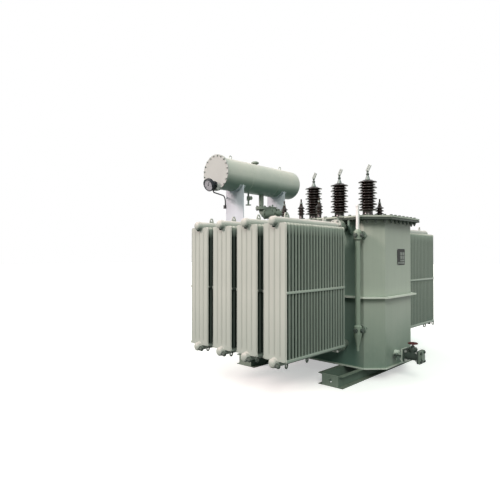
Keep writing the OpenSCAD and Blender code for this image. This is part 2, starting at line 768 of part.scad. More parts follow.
module gas_relay() color([0.45, 0.5, 0.46]) {
  along_x([relay_x, riser_y, run_z], pipe_flange_d * 0.82, pipe_flange_t);
  along_x([relay_x, riser_y, run_z], relay_d, relay_l);
  along_x([relay_x + relay_l - pipe_flange_t, riser_y, run_z], pipe_flange_d * 0.82, pipe_flange_t);
  translate([relay_x + relay_l / 2, riser_y, run_z]) {
    top = relay_d / 2 + relay_box_h;
    translate([-relay_box_l / 2, -relay_box_w / 2, 0]) cube([relay_box_l, relay_box_w, top]);
    translate([-relay_box_l / 2 - relay_lid, -relay_box_w / 2 - relay_lid, top])
      cube([relay_box_l + 2 * relay_lid, relay_box_w + 2 * relay_lid, 12]);
    translate([relay_box_l * 0.22, 0, top]) cylinder(d = 22, h = 46);
    translate([-relay_box_l * 0.22, 0, top]) cylinder(d = 30, h = 34);
  }
}

module cover_pipe() {
  x = relay_x + relay_l;
  along_x([x, riser_y, run_z], pipe_flange_d * 0.82, pipe_flange_t);
  along_x([x, riser_y, run_z], pipe_d, foot_x - bend_r - x);
  translate([foot_x - bend_r, riser_y, run_z - bend_r]) rotate([90, 0, 0])
    rotate_extrude(angle = 90) translate([bend_r, 0]) circle(d = pipe_d);
  translate([foot_x, riser_y, z_top]) cylinder(d = pipe_d, h = run_z - bend_r - z_top);
  pipe_flange_z(foot_x, z_top);
}

module relay_pipes() color([0.5, 0.56, 0.51]) {
  relay_elbow();
  cover_pipe();
}

// Oil filter standing off the tank's near corner on two branches, with a vent pipe on top:
// a slim body between two heads, with a cone and a plug below
module oil_filter() color([0.55, 0.62, 0.55]) translate([filter_x, filter_y, 0]) rotate_extrude() {
  r = filter_d / 2;
  h = filter_head_d / 2;
  lo = branch_lo - filter_head_h / 2;
  hi = branch_hi - filter_head_h / 2;
  polygon([[0, lo - filter_cone_h - filter_plug_h], [filter_plug_d / 2, lo - filter_cone_h - filter_plug_h],
    [filter_plug_d / 2, lo - filter_cone_h], [h, lo], [h, lo + filter_head_h],
    [r, lo + filter_head_h + h - r], [r, hi - h + r], [h, hi], [h, hi + filter_head_h],
    [vent_d / 2 + 4, vent_z], [0, vent_z]]);
}

module filter_branches() color([0.5, 0.57, 0.51])
  for (z = [branch_lo, branch_hi]) difference() {
    union() {
      along_y([filter_x, filter_y, z], branch_d, filter_off + corner_cut / 2);
      along_y([filter_x, filter_y + filter_head_d / 2 + branch_clear, z], branch_flange_d, branch_flange_t);
    }
    translate([filter_x, filter_y, z - branch_flange_d])
      cylinder(d = filter_head_d + 2 * seat_gap, h = branch_flange_d * 2);
    translate([0, 0, z_wall]) linear_extrude(wall_h) tank_outline();
  }

module vent_pipe() color([0.83, 0.85, 0.82]) translate([filter_x, filter_y, vent_z]) {
  h = z_top + vent_up - vent_z;
  cylinder(d = vent_d, h = h);
  translate([0, 0, h - 22]) cylinder(d = vent_d + 10, h = 22);
}

// Drain valve at the foot of the tank's +X end
module square_flange(x, t) {
  w = drain_flange_w;
  translate([x, drain_y - w / 2, drain_z - w / 2]) cube([t, w, w]);
}

module drain_neck() color([0.52, 0.58, 0.52]) {
  along_x([tank_l / 2, drain_y, drain_z], neck_d, neck_l + drain_flange_t);
  square_flange(tank_l / 2 + neck_l, drain_flange_t);
}

module drain_valve() color([0.2, 0.23, 0.22]) difference() {
  union() {
    square_flange(drain_x, drain_flange_t);
    square_flange(blank_x - drain_flange_t, drain_flange_t);
    along_x([drain_x, drain_y, drain_z], neck_d + 24, drain_l);
    translate([stem_x, drain_y, drain_z]) rotate_extrude()
      polygon([[0, 0], [42, 0], [42, 62], [50, 62], [50, 80], [30, 80], [18, 112], [0, 112]]);
  }
  translate([stem_x, drain_y, drain_z + 70]) cylinder(d = stem_d + 2 * stem_gap, h = 80);
}

module drain_blank_flange() color([0.3, 0.36, 0.33]) {
  square_flange(blank_x, drain_flange_t);
  along_x([blank_x + drain_flange_t, drain_y, drain_z], blank_face_d, blank_face_t);
}

module drain_handwheel() color([0.35, 0.12, 0.11]) translate([stem_x, drain_y, drain_z]) {
  rim = wheel_d / 2 - wheel_rim_d / 2;
  translate([0, 0, 70 + seat_gap]) cylinder(d = stem_d, h = wheel_up - 70 + 16);
  translate([0, 0, wheel_up]) {
    rotate_extrude() translate([rim, 0]) circle(d = wheel_rim_d);
    translate([0, 0, -9]) cylinder(d = stem_d + 16, h = 18);
    for (a = [0, 90, 180, 270]) rotate([0, 0, a]) translate([stem_d / 2, -5, -4])
      cube([rim - stem_d / 2, 10, 8]);
  }
}

module nameplate() color([0.2, 0.22, 0.22])
  translate([tank_l / 2, plate_y - plate_w / 2, z_wall + plate_up - plate_h / 2])
    cube([plate_t, plate_w, plate_h]);

skid_channels();
skid_end_plates();
tank_bottom_plate();
tank_body();
tank_band();
tank_rim_flange();
cover_gasket();
tank_cover();
tank_lifting_lugs();
radiator_front_1();
radiator_front_2();
radiator_front_3();
radiator_front_4();
radiator_back_1();
radiator_back_2();
radiator_back_3();
radiator_back_4();
radiator_valves_front();
radiator_valves_back();
hv_flanges();
hv_porcelain();
hv_terminals();
lv_flanges();
lv_porcelain();
lv_terminals();
conservator_drum();
conservator_end_plate();
conservator_supports();
conservator_lifting_eyes();
filler_cap();
oil_gauge();
oil_gauge_dial();
gauge_conduit();
conservator_drain();
riser_pipe();
relay_pipes();
gas_relay();
oil_filter();
filter_branches();
vent_pipe();
drain_neck();
drain_valve();
drain_blank_flange();
drain_handwheel();
nameplate();
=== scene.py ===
# %% [markdown]
# An oil-filled transformer, dressed for its portrait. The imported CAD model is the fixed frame: every
# piece made here rides on one of its bodies. The unit is fixed plant, and only the drain valve's
# handwheel turns.

# %% Load the frame
import math
import bmesh
import bpy
from mathutils import Matrix, Vector


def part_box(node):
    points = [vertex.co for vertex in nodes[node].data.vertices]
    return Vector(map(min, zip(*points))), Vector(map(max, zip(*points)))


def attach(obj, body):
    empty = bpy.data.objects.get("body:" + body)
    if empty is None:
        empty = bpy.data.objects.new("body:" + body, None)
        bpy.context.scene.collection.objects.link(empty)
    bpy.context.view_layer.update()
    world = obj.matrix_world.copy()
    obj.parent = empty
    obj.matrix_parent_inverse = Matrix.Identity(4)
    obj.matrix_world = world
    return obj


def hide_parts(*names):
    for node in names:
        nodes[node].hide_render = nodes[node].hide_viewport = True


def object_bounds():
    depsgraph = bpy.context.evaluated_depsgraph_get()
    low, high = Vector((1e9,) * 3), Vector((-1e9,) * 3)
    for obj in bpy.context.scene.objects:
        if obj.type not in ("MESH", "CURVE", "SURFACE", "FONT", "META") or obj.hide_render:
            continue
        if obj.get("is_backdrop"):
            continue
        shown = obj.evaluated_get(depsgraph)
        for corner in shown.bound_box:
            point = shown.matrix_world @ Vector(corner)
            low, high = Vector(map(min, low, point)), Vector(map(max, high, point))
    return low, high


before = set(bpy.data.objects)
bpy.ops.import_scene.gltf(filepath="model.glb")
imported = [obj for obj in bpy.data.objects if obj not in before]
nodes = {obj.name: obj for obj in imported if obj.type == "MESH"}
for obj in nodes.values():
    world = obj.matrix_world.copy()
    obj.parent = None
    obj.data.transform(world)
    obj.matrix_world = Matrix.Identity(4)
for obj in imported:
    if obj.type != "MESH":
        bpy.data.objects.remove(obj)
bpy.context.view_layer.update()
BODY = "transformer"

# %% [markdown]
# Colours are written as the sRGB values that a colour picker shows. Blender's shaders work in linear
# light, so one function turns them, and a second one darkens or tints a colour that is already linear.


# %% Colour helpers
def linear(hex_value):
    parts = [int(hex_value[i:i + 2], 16) / 255 for i in (1, 3, 5)]
    return tuple(c / 12.92 if c <= 0.04045 else ((c + 0.055) / 1.055) ** 2.4 for c in parts) + (1.0,)


def tinted(colour, *factors):
    three = factors if len(factors) == 3 else factors * 3
    return tuple(min(c * f, 1.0) for c, f in zip(colour, three)) + (1.0,)


print("mid grey in linear light", round(linear("#808080")[0], 3))

# %% [markdown]
# Nodes could be placed by hand in the editor. Built in the script they can be read and repeated. The
# first function adds a node, sets its values and makes its links. The others wrap the five kinds that
# every paint here needs, so that a material reads from top to bottom like a recipe.


# %% Node helpers
def add(tree, kind, links=(), **settings):
    node = tree.nodes.new(kind)
    for key, value in settings.items():
        if key.startswith("in_"):
            name = key[3:].replace("_", " ")
            socket = node.inputs[int(name)] if name.isdigit() else node.inputs[name]
            socket.default_value = value
        else:
            setattr(node, key, value)
    for source, target in links:
        tree.links.new(source, node.inputs[target])
    return node


def feed(tree, value, socket):
    if isinstance(value, (int, float, tuple)):
        socket.default_value = value
    else:
        tree.links.new(value, socket)


def calc(tree, operation, first, second=0.0):
    node = add(tree, "ShaderNodeMath", operation=operation)
    feed(tree, first, node.inputs[0])
    feed(tree, second, node.inputs[1])
    return node.outputs[0]


def product(tree, first, *others):
    for other in others:
        first = calc(tree, "MULTIPLY", first, other)
    return first


def ramp(tree, value, start, end, low, high):
    node = add(tree, "ShaderNodeMapRange", [(value, "Value")], in_1=start, in_2=end, in_3=low, in_4=high)
    return node.outputs[0]


def blend(tree, factor, under, over, mode="MIX"):
    node = add(tree, "ShaderNodeMix", [(factor, "Factor")], data_type="RGBA", blend_type=mode)
    feed(tree, under, node.inputs["A"])
    feed(tree, over, node.inputs["B"])
    return node.outputs["Result"]


def grain(tree, place, scale, detail, roughness=0.5):
    node = add(tree, "ShaderNodeTexNoise", [(place, "Vector")], in_Scale=scale, in_Detail=detail,
               in_Roughness=roughness)
    return node.outputs["Fac"]


def along(tree, vector, letter):
    return add(tree, "ShaderNodeSeparateXYZ", [(vector, "Vector")]).outputs[letter]


print("node helpers ready")

# %% [markdown]
# Every material starts the same way: one Principled shader, which covers paint, metal and glaze alike,
# its output, and the object's own coordinates. Those are in metres and need no unwrapping, so a pattern
# has the same size on every piece.


# %% New material
def new_material(name):
    material = bpy.data.materials.new(name)
    material.use_nodes = True
    tree = material.node_tree
    tree.nodes.clear()
    shader = add(tree, "ShaderNodeBsdfPrincipled")
    add(tree, "ShaderNodeOutputMaterial", [(shader.outputs[0], "Surface")])
    place = add(tree, "ShaderNodeTexCoord").outputs["Object"]
    return material, tree, shader, place


print("each material starts from one Principled shader")

# %% [markdown]
# Most of the unit is mild steel under an alkyd enamel, sprayed on in a workshop. Up close it has a faint
# orange peel a few millimetres across. From a few metres the eye sees slow changes of tone and rain
# streaks down the walls. Top faces are lighter, partly with dust and partly with a painted top light.
# Towards the ground the paint darkens, partly with splashed dirt and partly with painted shade, and
# undersides get a painted shade. A photo texture could carry all that, but it would need unwrapping.
# Here the streaks are a noise stretched along Z, and the top light and the under shade read the surface's
# own normal, so they lie right on every piece and from every side. Where the dirt and the painted shade
# lie, the gloss is dimmed as the colour darkens.

# %% Painted steel
TONE_SCALE, TONE_SPREAD = 2.2, 0.10
STREAK_SCALE, STREAK_TINT = (34.0, 34.0, 1.3), 0.42
STREAK_FROM, STREAK_FULL = 0.48, 0.78
SPLASH_AND_SHADE_LOW, SPLASH_AND_SHADE_HIGH = 0.15, 1.0
UNDER_FULL, UNDER_GONE = -0.7, -0.1
SOIL_AND_SHADE_TINT = (0.30, 0.42, 0.40)
CLEAN_GLOSS, SOIL_AND_SHADE_GLOSS = 0.5, 0.1
PEEL_DEPTH = 0.0006
ENAMEL_IOR = 1.38


def painted_steel(name, hex_value, rough=0.38, streak=0.10, dust_and_top_light_colour="#b9b6a6", dust_and_top_light=0.25, dust_and_top_light_from=0.55,
                  splash_and_low_shade=0.35, under_shade=0.6, peel_mm=6.0):
    material, tree, shader, place = new_material(name)
    base = linear(hex_value)
    upward = along(tree, add(tree, "ShaderNodeNewGeometry").outputs["Normal"], "Z")
    tone = grain(tree, place, TONE_SCALE, 4.0, 0.6)
    colour = blend(tree, tone, tinted(base, 1 - TONE_SPREAD), tinted(base, 1 + TONE_SPREAD))
    stretched = add(tree, "ShaderNodeMapping", [(place, "Vector")], in_Scale=STREAK_SCALE).outputs[0]
    runs = ramp(tree, grain(tree, stretched, 1.0, 3.0), STREAK_FROM, STREAK_FULL, 0.0, streak)
    colour = blend(tree, runs, colour, tinted(base, STREAK_TINT))
    # Lightens upward faces: partly dust, partly a painted top light on the tank, radiators and drum.
    dust_and_top_light_mask = product(tree, ramp(tree, upward, dust_and_top_light_from, 1.0, 0.0, dust_and_top_light), tone)
    colour = blend(tree, dust_and_top_light_mask, colour, linear(dust_and_top_light_colour))
    # Darkens towards the ground: partly splashed dirt, partly painted shade near the ground.
    low = ramp(tree, along(tree, place, "Z"), SPLASH_AND_SHADE_LOW, SPLASH_AND_SHADE_HIGH, splash_and_low_shade, 0.0)
    splash_and_low_shade_mask = product(tree, low, ramp(tree, tone, 0.3, 0.6, 0.6, 1.0))
    # Painted shade on undersides, joined with the darkening near the ground.
    soil_and_shade = calc(tree, "MAXIMUM", splash_and_low_shade_mask, ramp(tree, upward, UNDER_FULL, UNDER_GONE, under_shade, 0.0))
    colour = blend(tree, soil_and_shade, colour, tinted(base, *SOIL_AND_SHADE_TINT))
    tree.links.new(colour, shader.inputs["Base Color"])
    gloss = ramp(tree, soil_and_shade, 0.0, 0.6, CLEAN_GLOSS, SOIL_AND_SHADE_GLOSS)
    tree.links.new(gloss, shader.inputs["Specular IOR Level"])
    tree.links.new(ramp(tree, tone, 0.0, 1.0, rough - 0.07, rough + 0.10), shader.inputs["Roughness"])
    peel = grain(tree, place, 1000.0 / peel_mm, 2.0)
    bump = add(tree, "ShaderNodeBump", [(peel, "Height")], in_Strength=0.10, in_Distance=PEEL_DEPTH)
    tree.links.new(bump.outputs[0], shader.inputs["Normal"])
    shader.inputs["IOR"].default_value = ENAMEL_IOR
    return material


print("enamel recipe ready, orange peel", PEEL_DEPTH * 1000, "mm deep")

# %% [markdown]
# One recipe gives all the enamels. The tank, radiators and drum share a grey-green that has aged
# differently: the drum lies in the open and is pale on top, with dust and a painted top light, the skids
# are low and dull, and small parts were painted darker. Some copies stand in for light: a paler one on
# the band, the bottom plate and the drain neck is a painted highlight, a lighter one on the skids' end
# plates and a near white one on the vent pipe are painted light, and a dark one on the rim under the
# cover is painted shade. Only the values change, which keeps the whole unit in one family.

# %% The enamels
tank_enamel = painted_steel("tank_enamel_painted_steel", "#b1baad", rough=0.40, dust_and_top_light_colour="#d6d8cc", dust_and_top_light=0.8,
                            splash_and_low_shade=0.75)
# Painted highlight: a paler copy of the tank paint, for the band, the bottom plate and the drain neck.
painted_highlight_enamel = painted_steel("painted_highlight_enamel_painted_steel", "#e4e9de", rough=0.42, dust_and_top_light_colour="#dcded4", dust_and_top_light=0.8)
radiator_enamel = painted_steel("radiator_enamel_painted_steel", "#aebaaf", rough=0.42, streak=0.07,
                                dust_and_top_light_colour="#eae2da", dust_and_top_light=1.3, dust_and_top_light_from=0.0, splash_and_low_shade=0.45)
fitting_enamel = painted_steel("fitting_enamel_painted_steel", "#849085", rough=0.42)
filter_enamel = painted_steel("filter_enamel_painted_steel", "#93a192", rough=0.42)
drum_enamel = painted_steel("drum_enamel_painted_steel", "#bec8c0", rough=0.38, streak=0.04, dust_and_top_light_colour="#eae0d6",
                            dust_and_top_light=1.5, dust_and_top_light_from=-0.4, splash_and_low_shade=0.0, under_shade=0.95)
end_plate_enamel = painted_steel("end_plate_enamel_painted_steel", "#bcc0bd", rough=0.42, streak=0.04)
support_enamel = painted_steel("support_enamel_painted_steel", "#d2dae3", rough=0.45, streak=0.05)
# Painted light: the vent pipe is near white, as the green pipe looks in direct sun.
vent_painted_light_enamel = painted_steel("vent_painted_light_enamel_painted_steel", "#f6f7f5", rough=0.40, streak=0.03)
skid_enamel = painted_steel("skid_enamel_dusty_steel", "#6e7f72", rough=0.6, streak=0.2, dust_and_top_light_colour="#a29d8d",
                            dust_and_top_light=0.6)
# Painted light: a lighter copy of the skid paint for the end plates, which stand in shade.
skid_end_painted_light_enamel = painted_steel("skid_end_painted_light_enamel_dusty_steel", "#919f92", rough=0.6, streak=0.2,
                                dust_and_top_light_colour="#a29d8d", dust_and_top_light=0.6)
# Painted shade: a dark copy of the tank paint for the rim in the cover's shadow.
rim_painted_shade_enamel = painted_steel("rim_painted_shade_enamel_painted_steel", "#414b43", rough=0.45, streak=0.15)
iron_enamel = painted_steel("dark_enamel_cast_iron", "#4c5650", rough=0.5, streak=0.05, peel_mm=3.0)
bolt_enamel = painted_steel("bolt_enamel_painted_steel", "#5d665f", rough=0.5, streak=0.05, peel_mm=3.0)
gauge_enamel = painted_steel("gauge_enamel_cast_aluminium", "#2c3138", rough=0.4, streak=0.0, peel_mm=3.0)
wheel_enamel = painted_steel("red_enamel_cast_iron", "#5e1c20", rough=0.42, streak=0.05, peel_mm=3.0)
weld_paint = painted_steel("weld_enamel_painted_steel", "#98a595", rough=0.5, peel_mm=4.0)
print("enamels made:", len(bpy.data.materials))

# %% [markdown]
# The bushings are electrical porcelain: fired clay under a brown glaze, which pools, so that its tone
# drifts a little, and shines like glass. The bare metals are zinc-plated bolts, tinned copper and aged
# bronze. All of these are one colour that wanders between two tones, with a roughness that wanders with
# it.


# %% Porcelain, bare metals, rubber and dial
def plain_finish(name, hex_a, hex_b, scale_mm, rough, spread, metal=0.0, ior=1.5, coat=0.0):
    material, tree, shader, place = new_material(name)
    drift = grain(tree, place, 1000.0 / scale_mm, 4.0)
    tree.links.new(blend(tree, drift, linear(hex_a), linear(hex_b)), shader.inputs["Base Color"])
    tree.links.new(ramp(tree, drift, 0.0, 1.0, rough - spread, rough + spread), shader.inputs["Roughness"])
    shader.inputs["Metallic"].default_value = metal
    shader.inputs["IOR"].default_value = ior
    shader.inputs["Coat Weight"].default_value = coat
    shader.inputs["Coat Roughness"].default_value = 0.08
    return material


porcelain = plain_finish("brown_glazed_porcelain", "#140c09", "#251812", 60, 0.16, 0.05, ior=1.5, coat=0.1)
zinc = plain_finish("zinc_plated_steel", "#8f9490", "#b9bcb8", 12, 0.42, 0.1, metal=1.0)
tinned_copper = plain_finish("tinned_copper", "#6a7470", "#8a938e", 25, 0.5, 0.1, metal=1.0)
aged_bronze = plain_finish("aged_bronze", "#26211b", "#3d362c", 25, 0.45, 0.1, metal=0.8)
black_rubber = plain_finish("oil_resistant_rubber", "#151616", "#222423", 15, 0.75, 0.08)
conduit_black = plain_finish("flexible_conduit_pvc", "#1b1c1d", "#2a2c2d", 10, 0.5, 0.08)
dial_grey = plain_finish("dial_printed_aluminium", "#a9adb6", "#bcbfc6", 20, 0.45, 0.05)
dial_ink = plain_finish("dial_ink", "#26282c", "#303338", 20, 0.5, 0.05)
plate_dark = plain_finish("anodised_plate", "#151817", "#222625", 40, 0.5, 0.08, ior=1.3)
plate_pale = plain_finish("etched_panel", "#757b77", "#8c918b", 18, 0.5, 0.08, ior=1.4)
print("all finishes made:", len(bpy.data.materials))

# %% [markdown]
# The CAD solids already hold the tank, pipes and fittings, so most nodes stay as they are and only get
# their finish. A node takes the longest key that its name starts with, so a general key can have
# exceptions.

# %% Finish the CAD nodes
FINISH = {
    "skid": skid_enamel, "skid_end_plates": skid_end_painted_light_enamel,
    "tank": tank_enamel, "tank_band": painted_highlight_enamel, "tank_bottom_plate": painted_highlight_enamel,
    "tank_rim_flange": rim_painted_shade_enamel, "cover_gasket": black_rubber,
    "radiator": radiator_enamel, "radiator_valves": fitting_enamel,
    "hv_flanges": fitting_enamel, "hv_porcelain": porcelain, "hv_terminals": tinned_copper,
    "lv_flanges": fitting_enamel, "lv_porcelain": porcelain, "lv_terminals": aged_bronze,
    "conservator": drum_enamel, "conservator_end_plate": end_plate_enamel,
    "conservator_supports": support_enamel, "conservator_drain": fitting_enamel,
    "filler_cap": fitting_enamel,
    "oil_gauge": gauge_enamel, "oil_gauge_dial": dial_grey, "gauge_conduit": conduit_black,
    "riser_pipe": fitting_enamel, "relay_pipes": fitting_enamel, "gas_relay": fitting_enamel,
    "oil_filter": filter_enamel, "filter_branches": fitting_enamel, "vent_pipe": vent_painted_light_enamel,
    "drain_neck": painted_highlight_enamel, "drain_valve": iron_enamel, "drain_blank_flange": fitting_enamel,
    "drain_handwheel": wheel_enamel, "nameplate": plate_dark,
}
for name, node in nodes.items():
    best = max((key for key in FINISH if name.startswith(key)), key=len)
    node.data.materials.clear()
    node.data.materials.append(FINISH[best])
print(len(nodes), "CAD nodes finished")

# %% [markdown]
# Sizes that several pieces share are read from the CAD nodes, so the dressing follows the solids. What a
# box can't tell, such as the cut of the tank's corners and the spacing of bushings and skids, is written
# here once.

# %% Measures from the frame
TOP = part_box("tank_cover")[1][2]
rim_low, rim_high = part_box("tank_rim_flange")
tank_low, tank_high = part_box("tank_body")
band_low, band_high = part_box("tank_band")
plate_low, plate_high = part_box("conservator_end_plate")
SIDES = (-1, 1)
CUT = 0.172
SKID_X = 0.630
HV_Y, HV_PITCH = 0.25, 0.425
HV_X = [i * HV_PITCH for i in (-1, 0, 1)]
WASHER_HALF = 0.003
print("cover top", round(TOP, 3), "rim half length", round(rim_high[0], 3))

# %% [markdown]
# A radiator is a stack of fins on two header pipes. These are its sizes in metres: the fin, its seam and
# its flutes, the stack, the headers and the gap to the tank. The painted shades below and the meshes
# later share them.

# %% Measures of a radiator
FIN_W, FIN_T, SEAM_T, SEAM_W, FLUTES = 0.286, 0.015, 0.006, 0.007, 4
PITCH, COUNT, FIN_END, FIN_CORNER, NECK = 0.050, 21, -0.018, 0.012, 0.062
HEADER_Z, SPAN, HEADER_R, HEADER_OUT = 0.384, 1.340, 0.0445, 0.055
RAD_GAP, RAD_PITCH, JOINT, RAD_FLANGE, VALVE_BODY = 0.255, 0.366, 0.0595, 0.016, 0.046
UPPER_Z = HEADER_Z + SPAN
PACK = (COUNT - 1) * PITCH
PACK_X = [(i - 1.5) * RAD_PITCH for i in range(4)]
FIN_LOW, FIN_HIGH = HEADER_Z - FIN_END, UPPER_Z + FIN_END
FIN_INNER = FIN_W / 2 - SEAM_W
FLUTE = 2 * FIN_INNER / FLUTES
LAST_FIN = tank_high[1] + RAD_GAP + PACK
print("last fin at", round(LAST_FIN, 3), "flute", round(FLUTE, 3))

# %% [markdown]
# A painted shade darkens the paint's colour and dulls its gloss together. A second shader mixed over the
# paint could show it, at the cost of one more of everything. This function takes what already feeds the
# colour and the gloss, lays the shade's colour over the one and dims the other, where a mask says so.


# %% Lay a painted shade
def open_paint(material):
    tree = material.node_tree
    place = add(tree, "ShaderNodeTexCoord").outputs["Object"]
    return tree, tree.nodes["Principled BSDF"], *[along(tree, place, letter) for letter in "XYZ"]


def lay_painted_shade(tree, shader, mask, hex_value, matte_at):
    paint = shader.inputs["Base Color"].links[0].from_socket
    gloss = shader.inputs["Specular IOR Level"].links[0].from_socket
    level = product(tree, gloss, ramp(tree, mask, 0.0, matte_at, 1.0, 0.2))
    tree.links.new(level, shader.inputs["Specular IOR Level"])
    painted_shade = blend(tree, mask, paint, linear(hex_value))
    tree.links.new(painted_shade, shader.inputs["Base Color"])
    return painted_shade


print("film recipe ready")

# %% [markdown]
# Between the fins, and in the lanes between the packs, where little light reaches, the paint gets a dark
# painted shade that starts a few millimetres behind the fins' edges. Ambient occlusion could find such
# places, but it is slow and grainy. The mask here grows with the distance from the nearest lane, folded
# by a ping-pong node so that one formula serves all the packs. The headers stay clear of it. The
# outermost faces stand in the weather: they are bleached a little warmer, and the grooves between their
# flutes are darkened, partly with dirt and partly with painted shade.

# %% Painted shade between the fins
OUTER, FACE_STEP = LAST_FIN - 0.001, 0.002
SHADE_START, SHADE_FULL, FOOT_FADE, HEAD_FADE = 0.005, 0.022, 0.03, 0.12
LANE_SHADE, LANE_FADE = 0.85, 0.05
BLEACH = (1.09, 1.015, 1.06, 1.0)
GROOVE_DIRT_AND_SHADE, GROOVE_START, GROOVE_END = 0.30, 0.002, 0.014


def painted_shade_between_fins(material):
    tree, shader, x, y, z = open_paint(material)
    cell = calc(tree, "PINGPONG", x, RAD_PITCH / 2)
    edge = (RAD_PITCH - FIN_W) / 2
    lanes = ramp(tree, calc(tree, "ABSOLUTE", x), PACK_X[-1], PACK_X[-1] + LANE_FADE, LANE_SHADE, 0.0)
    behind = ramp(tree, cell, edge + SHADE_START, edge + SHADE_FULL, 0.0, 1.0)
    depth = calc(tree, "MAXIMUM", behind, lanes)
    reach = calc(tree, "ABSOLUTE", y)
    inner = ramp(tree, reach, OUTER - FACE_STEP, OUTER, 1.0, 0.0)
    bottom = ramp(tree, z, FIN_LOW, FIN_LOW + FOOT_FADE, 0.0, 1.0)
    top = ramp(tree, z, FIN_HIGH - HEAD_FADE, FIN_HIGH, 1.0, 0.0)
    # Painted shade between the fins and in the lanes between the packs.
    painted_shade = lay_painted_shade(tree, shader, product(tree, depth, inner, bottom, top), "#232e28", 1.0)
    above = ramp(tree, z, FIN_HIGH + 0.004, FIN_HIGH + 0.010, 0.0, 1.0)
    faces = ramp(tree, reach, OUTER - FACE_STEP, OUTER, 0.0, 1.0)
    weathered = calc(tree, "MAXIMUM", faces, above)
    bleach = blend(tree, weathered, painted_shade, BLEACH, "MULTIPLY")
    # Dark lines in the outer faces' grooves: partly dirt, partly painted shade.
    fold = calc(tree, "PINGPONG", calc(tree, "SUBTRACT", RAD_PITCH / 2, cell), FLUTE / 2)
    groove = ramp(tree, fold, GROOVE_START, GROOVE_END, GROOVE_DIRT_AND_SHADE, 0.0)
    head = ramp(tree, z, FIN_HIGH - 0.06, FIN_HIGH - 0.03, 1.0, 0.0)
    foot = ramp(tree, z, FIN_LOW + 0.03, FIN_LOW + 0.06, 0.0, 1.0)
    lines = product(tree, groove, head, foot, weathered)
    tree.links.new(blend(tree, lines, bleach, linear("#5b665c")), shader.inputs["Base Color"])


painted_shade_between_fins(radiator_enamel)
print("film laid between the fins, from", FIN_LOW, "to", round(FIN_HIGH, 3))

# %% [markdown]
# The long walls behind the radiators lie in the packs' shade. A greener painted shade lies there, thickest
# behind the packs and gone where the corner cuts begin. The same function lays it, with another mask.

# %% Painted shade behind the radiators
PACKS_END, WALL_SHADE = 0.66, 0.56


def painted_shade_behind_radiators(material):
    tree, shader, x, y, z = open_paint(material)
    wall = tank_high[1]
    behind = ramp(tree, calc(tree, "ABSOLUTE", x), PACKS_END, tank_high[0] - CUT, WALL_SHADE, 0.0)
    outside = ramp(tree, calc(tree, "ABSOLUTE", y), wall - 0.004, wall - 0.002, 0.0, 1.0)
    below = ramp(tree, z, rim_low[2] - 0.02, rim_low[2], 1.0, 0.0)
    # Painted shade on the long walls behind the packs.
    lay_painted_shade(tree, shader, product(tree, behind, outside, below), "#457066", 0.5)


painted_shade_behind_radiators(tank_enamel)
print("film laid behind the radiators, up to", round(rim_low[2], 3))

# %% [markdown]
# Every finished mesh goes through one function: it becomes an object at the origin, gets its finish, a
# sharp angle for its shading and the body that it rides on, and the CAD node that it stands for, if any,
# is hidden.


# %% Finish a piece
def finish_piece(mesh, name, material, replaces=(), smooth=None):
    piece = bpy.data.objects.new(name, mesh)
    bpy.context.collection.objects.link(piece)
    if material:
        mesh.materials.clear()
        mesh.materials.append(material)
    if smooth is not None:
        mesh.set_sharp_from_angle(angle=math.radians(smooth))
    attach(piece, BODY)
    if replaces:
        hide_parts(*replaces)
    return piece


print("pieces will ride on", BODY)

# %% [markdown]
# Two things on this unit repeat in great numbers, bolts and fins, and each gets a small Geometry Nodes
# tree. Both need named inputs and the same ending: put one shape on every point, make the copies real and
# set their finish. An upright cylinder that stands on its point serves heads and shanks. So each of these
# is written once.


# %% Tree helpers
def socket(tree, label, kind, way="INPUT"):
    return tree.interface.new_socket(label, in_out=way, socket_type="NodeSocket" + kind)


def upright(tree, radius, height, sides):
    bar = add(tree, "GeometryNodeMeshCylinder", [(radius, "Radius"), (height, "Depth")], in_Vertices=sides)
    lift = add(tree, "ShaderNodeCombineXYZ", [(calc(tree, "MULTIPLY", height, 0.5), "Z")])
    links = [(bar.outputs[0], "Geometry"), (lift.outputs[0], "Translation")]
    return add(tree, "GeometryNodeTransform", links).outputs[0]


def close_tree(tree, points, instance, source, rotation=None):
    links = [(points, "Points"), (instance, "Instance")]
    if rotation:
        links.append((rotation, "Rotation"))
    placed = add(tree, "GeometryNodeInstanceOnPoints", links)
    real = add(tree, "GeometryNodeRealizeInstances", [(placed.outputs[0], 0)])
    links = [(real.outputs[0], "Geometry"), (source["Finish"], "Material")]
    coloured = add(tree, "GeometryNodeSetMaterial", links)
    add(tree, "NodeGroupOutput", [(coloured.outputs[0], 0)])
    return tree


print("tree helpers ready")

# %% [markdown]
# Bolts repeat by the hundred: round the cover's rim, round every flange. Copies by hand would be slow to
# move. One Geometry Nodes tree puts a hexagon head, a washer and the bolt's end on each point of a mesh,
# and turns them to the direction stored on that point. The result is then turned into one plain mesh.

# %% Bolt tree
HEX_CORNER = 0.577


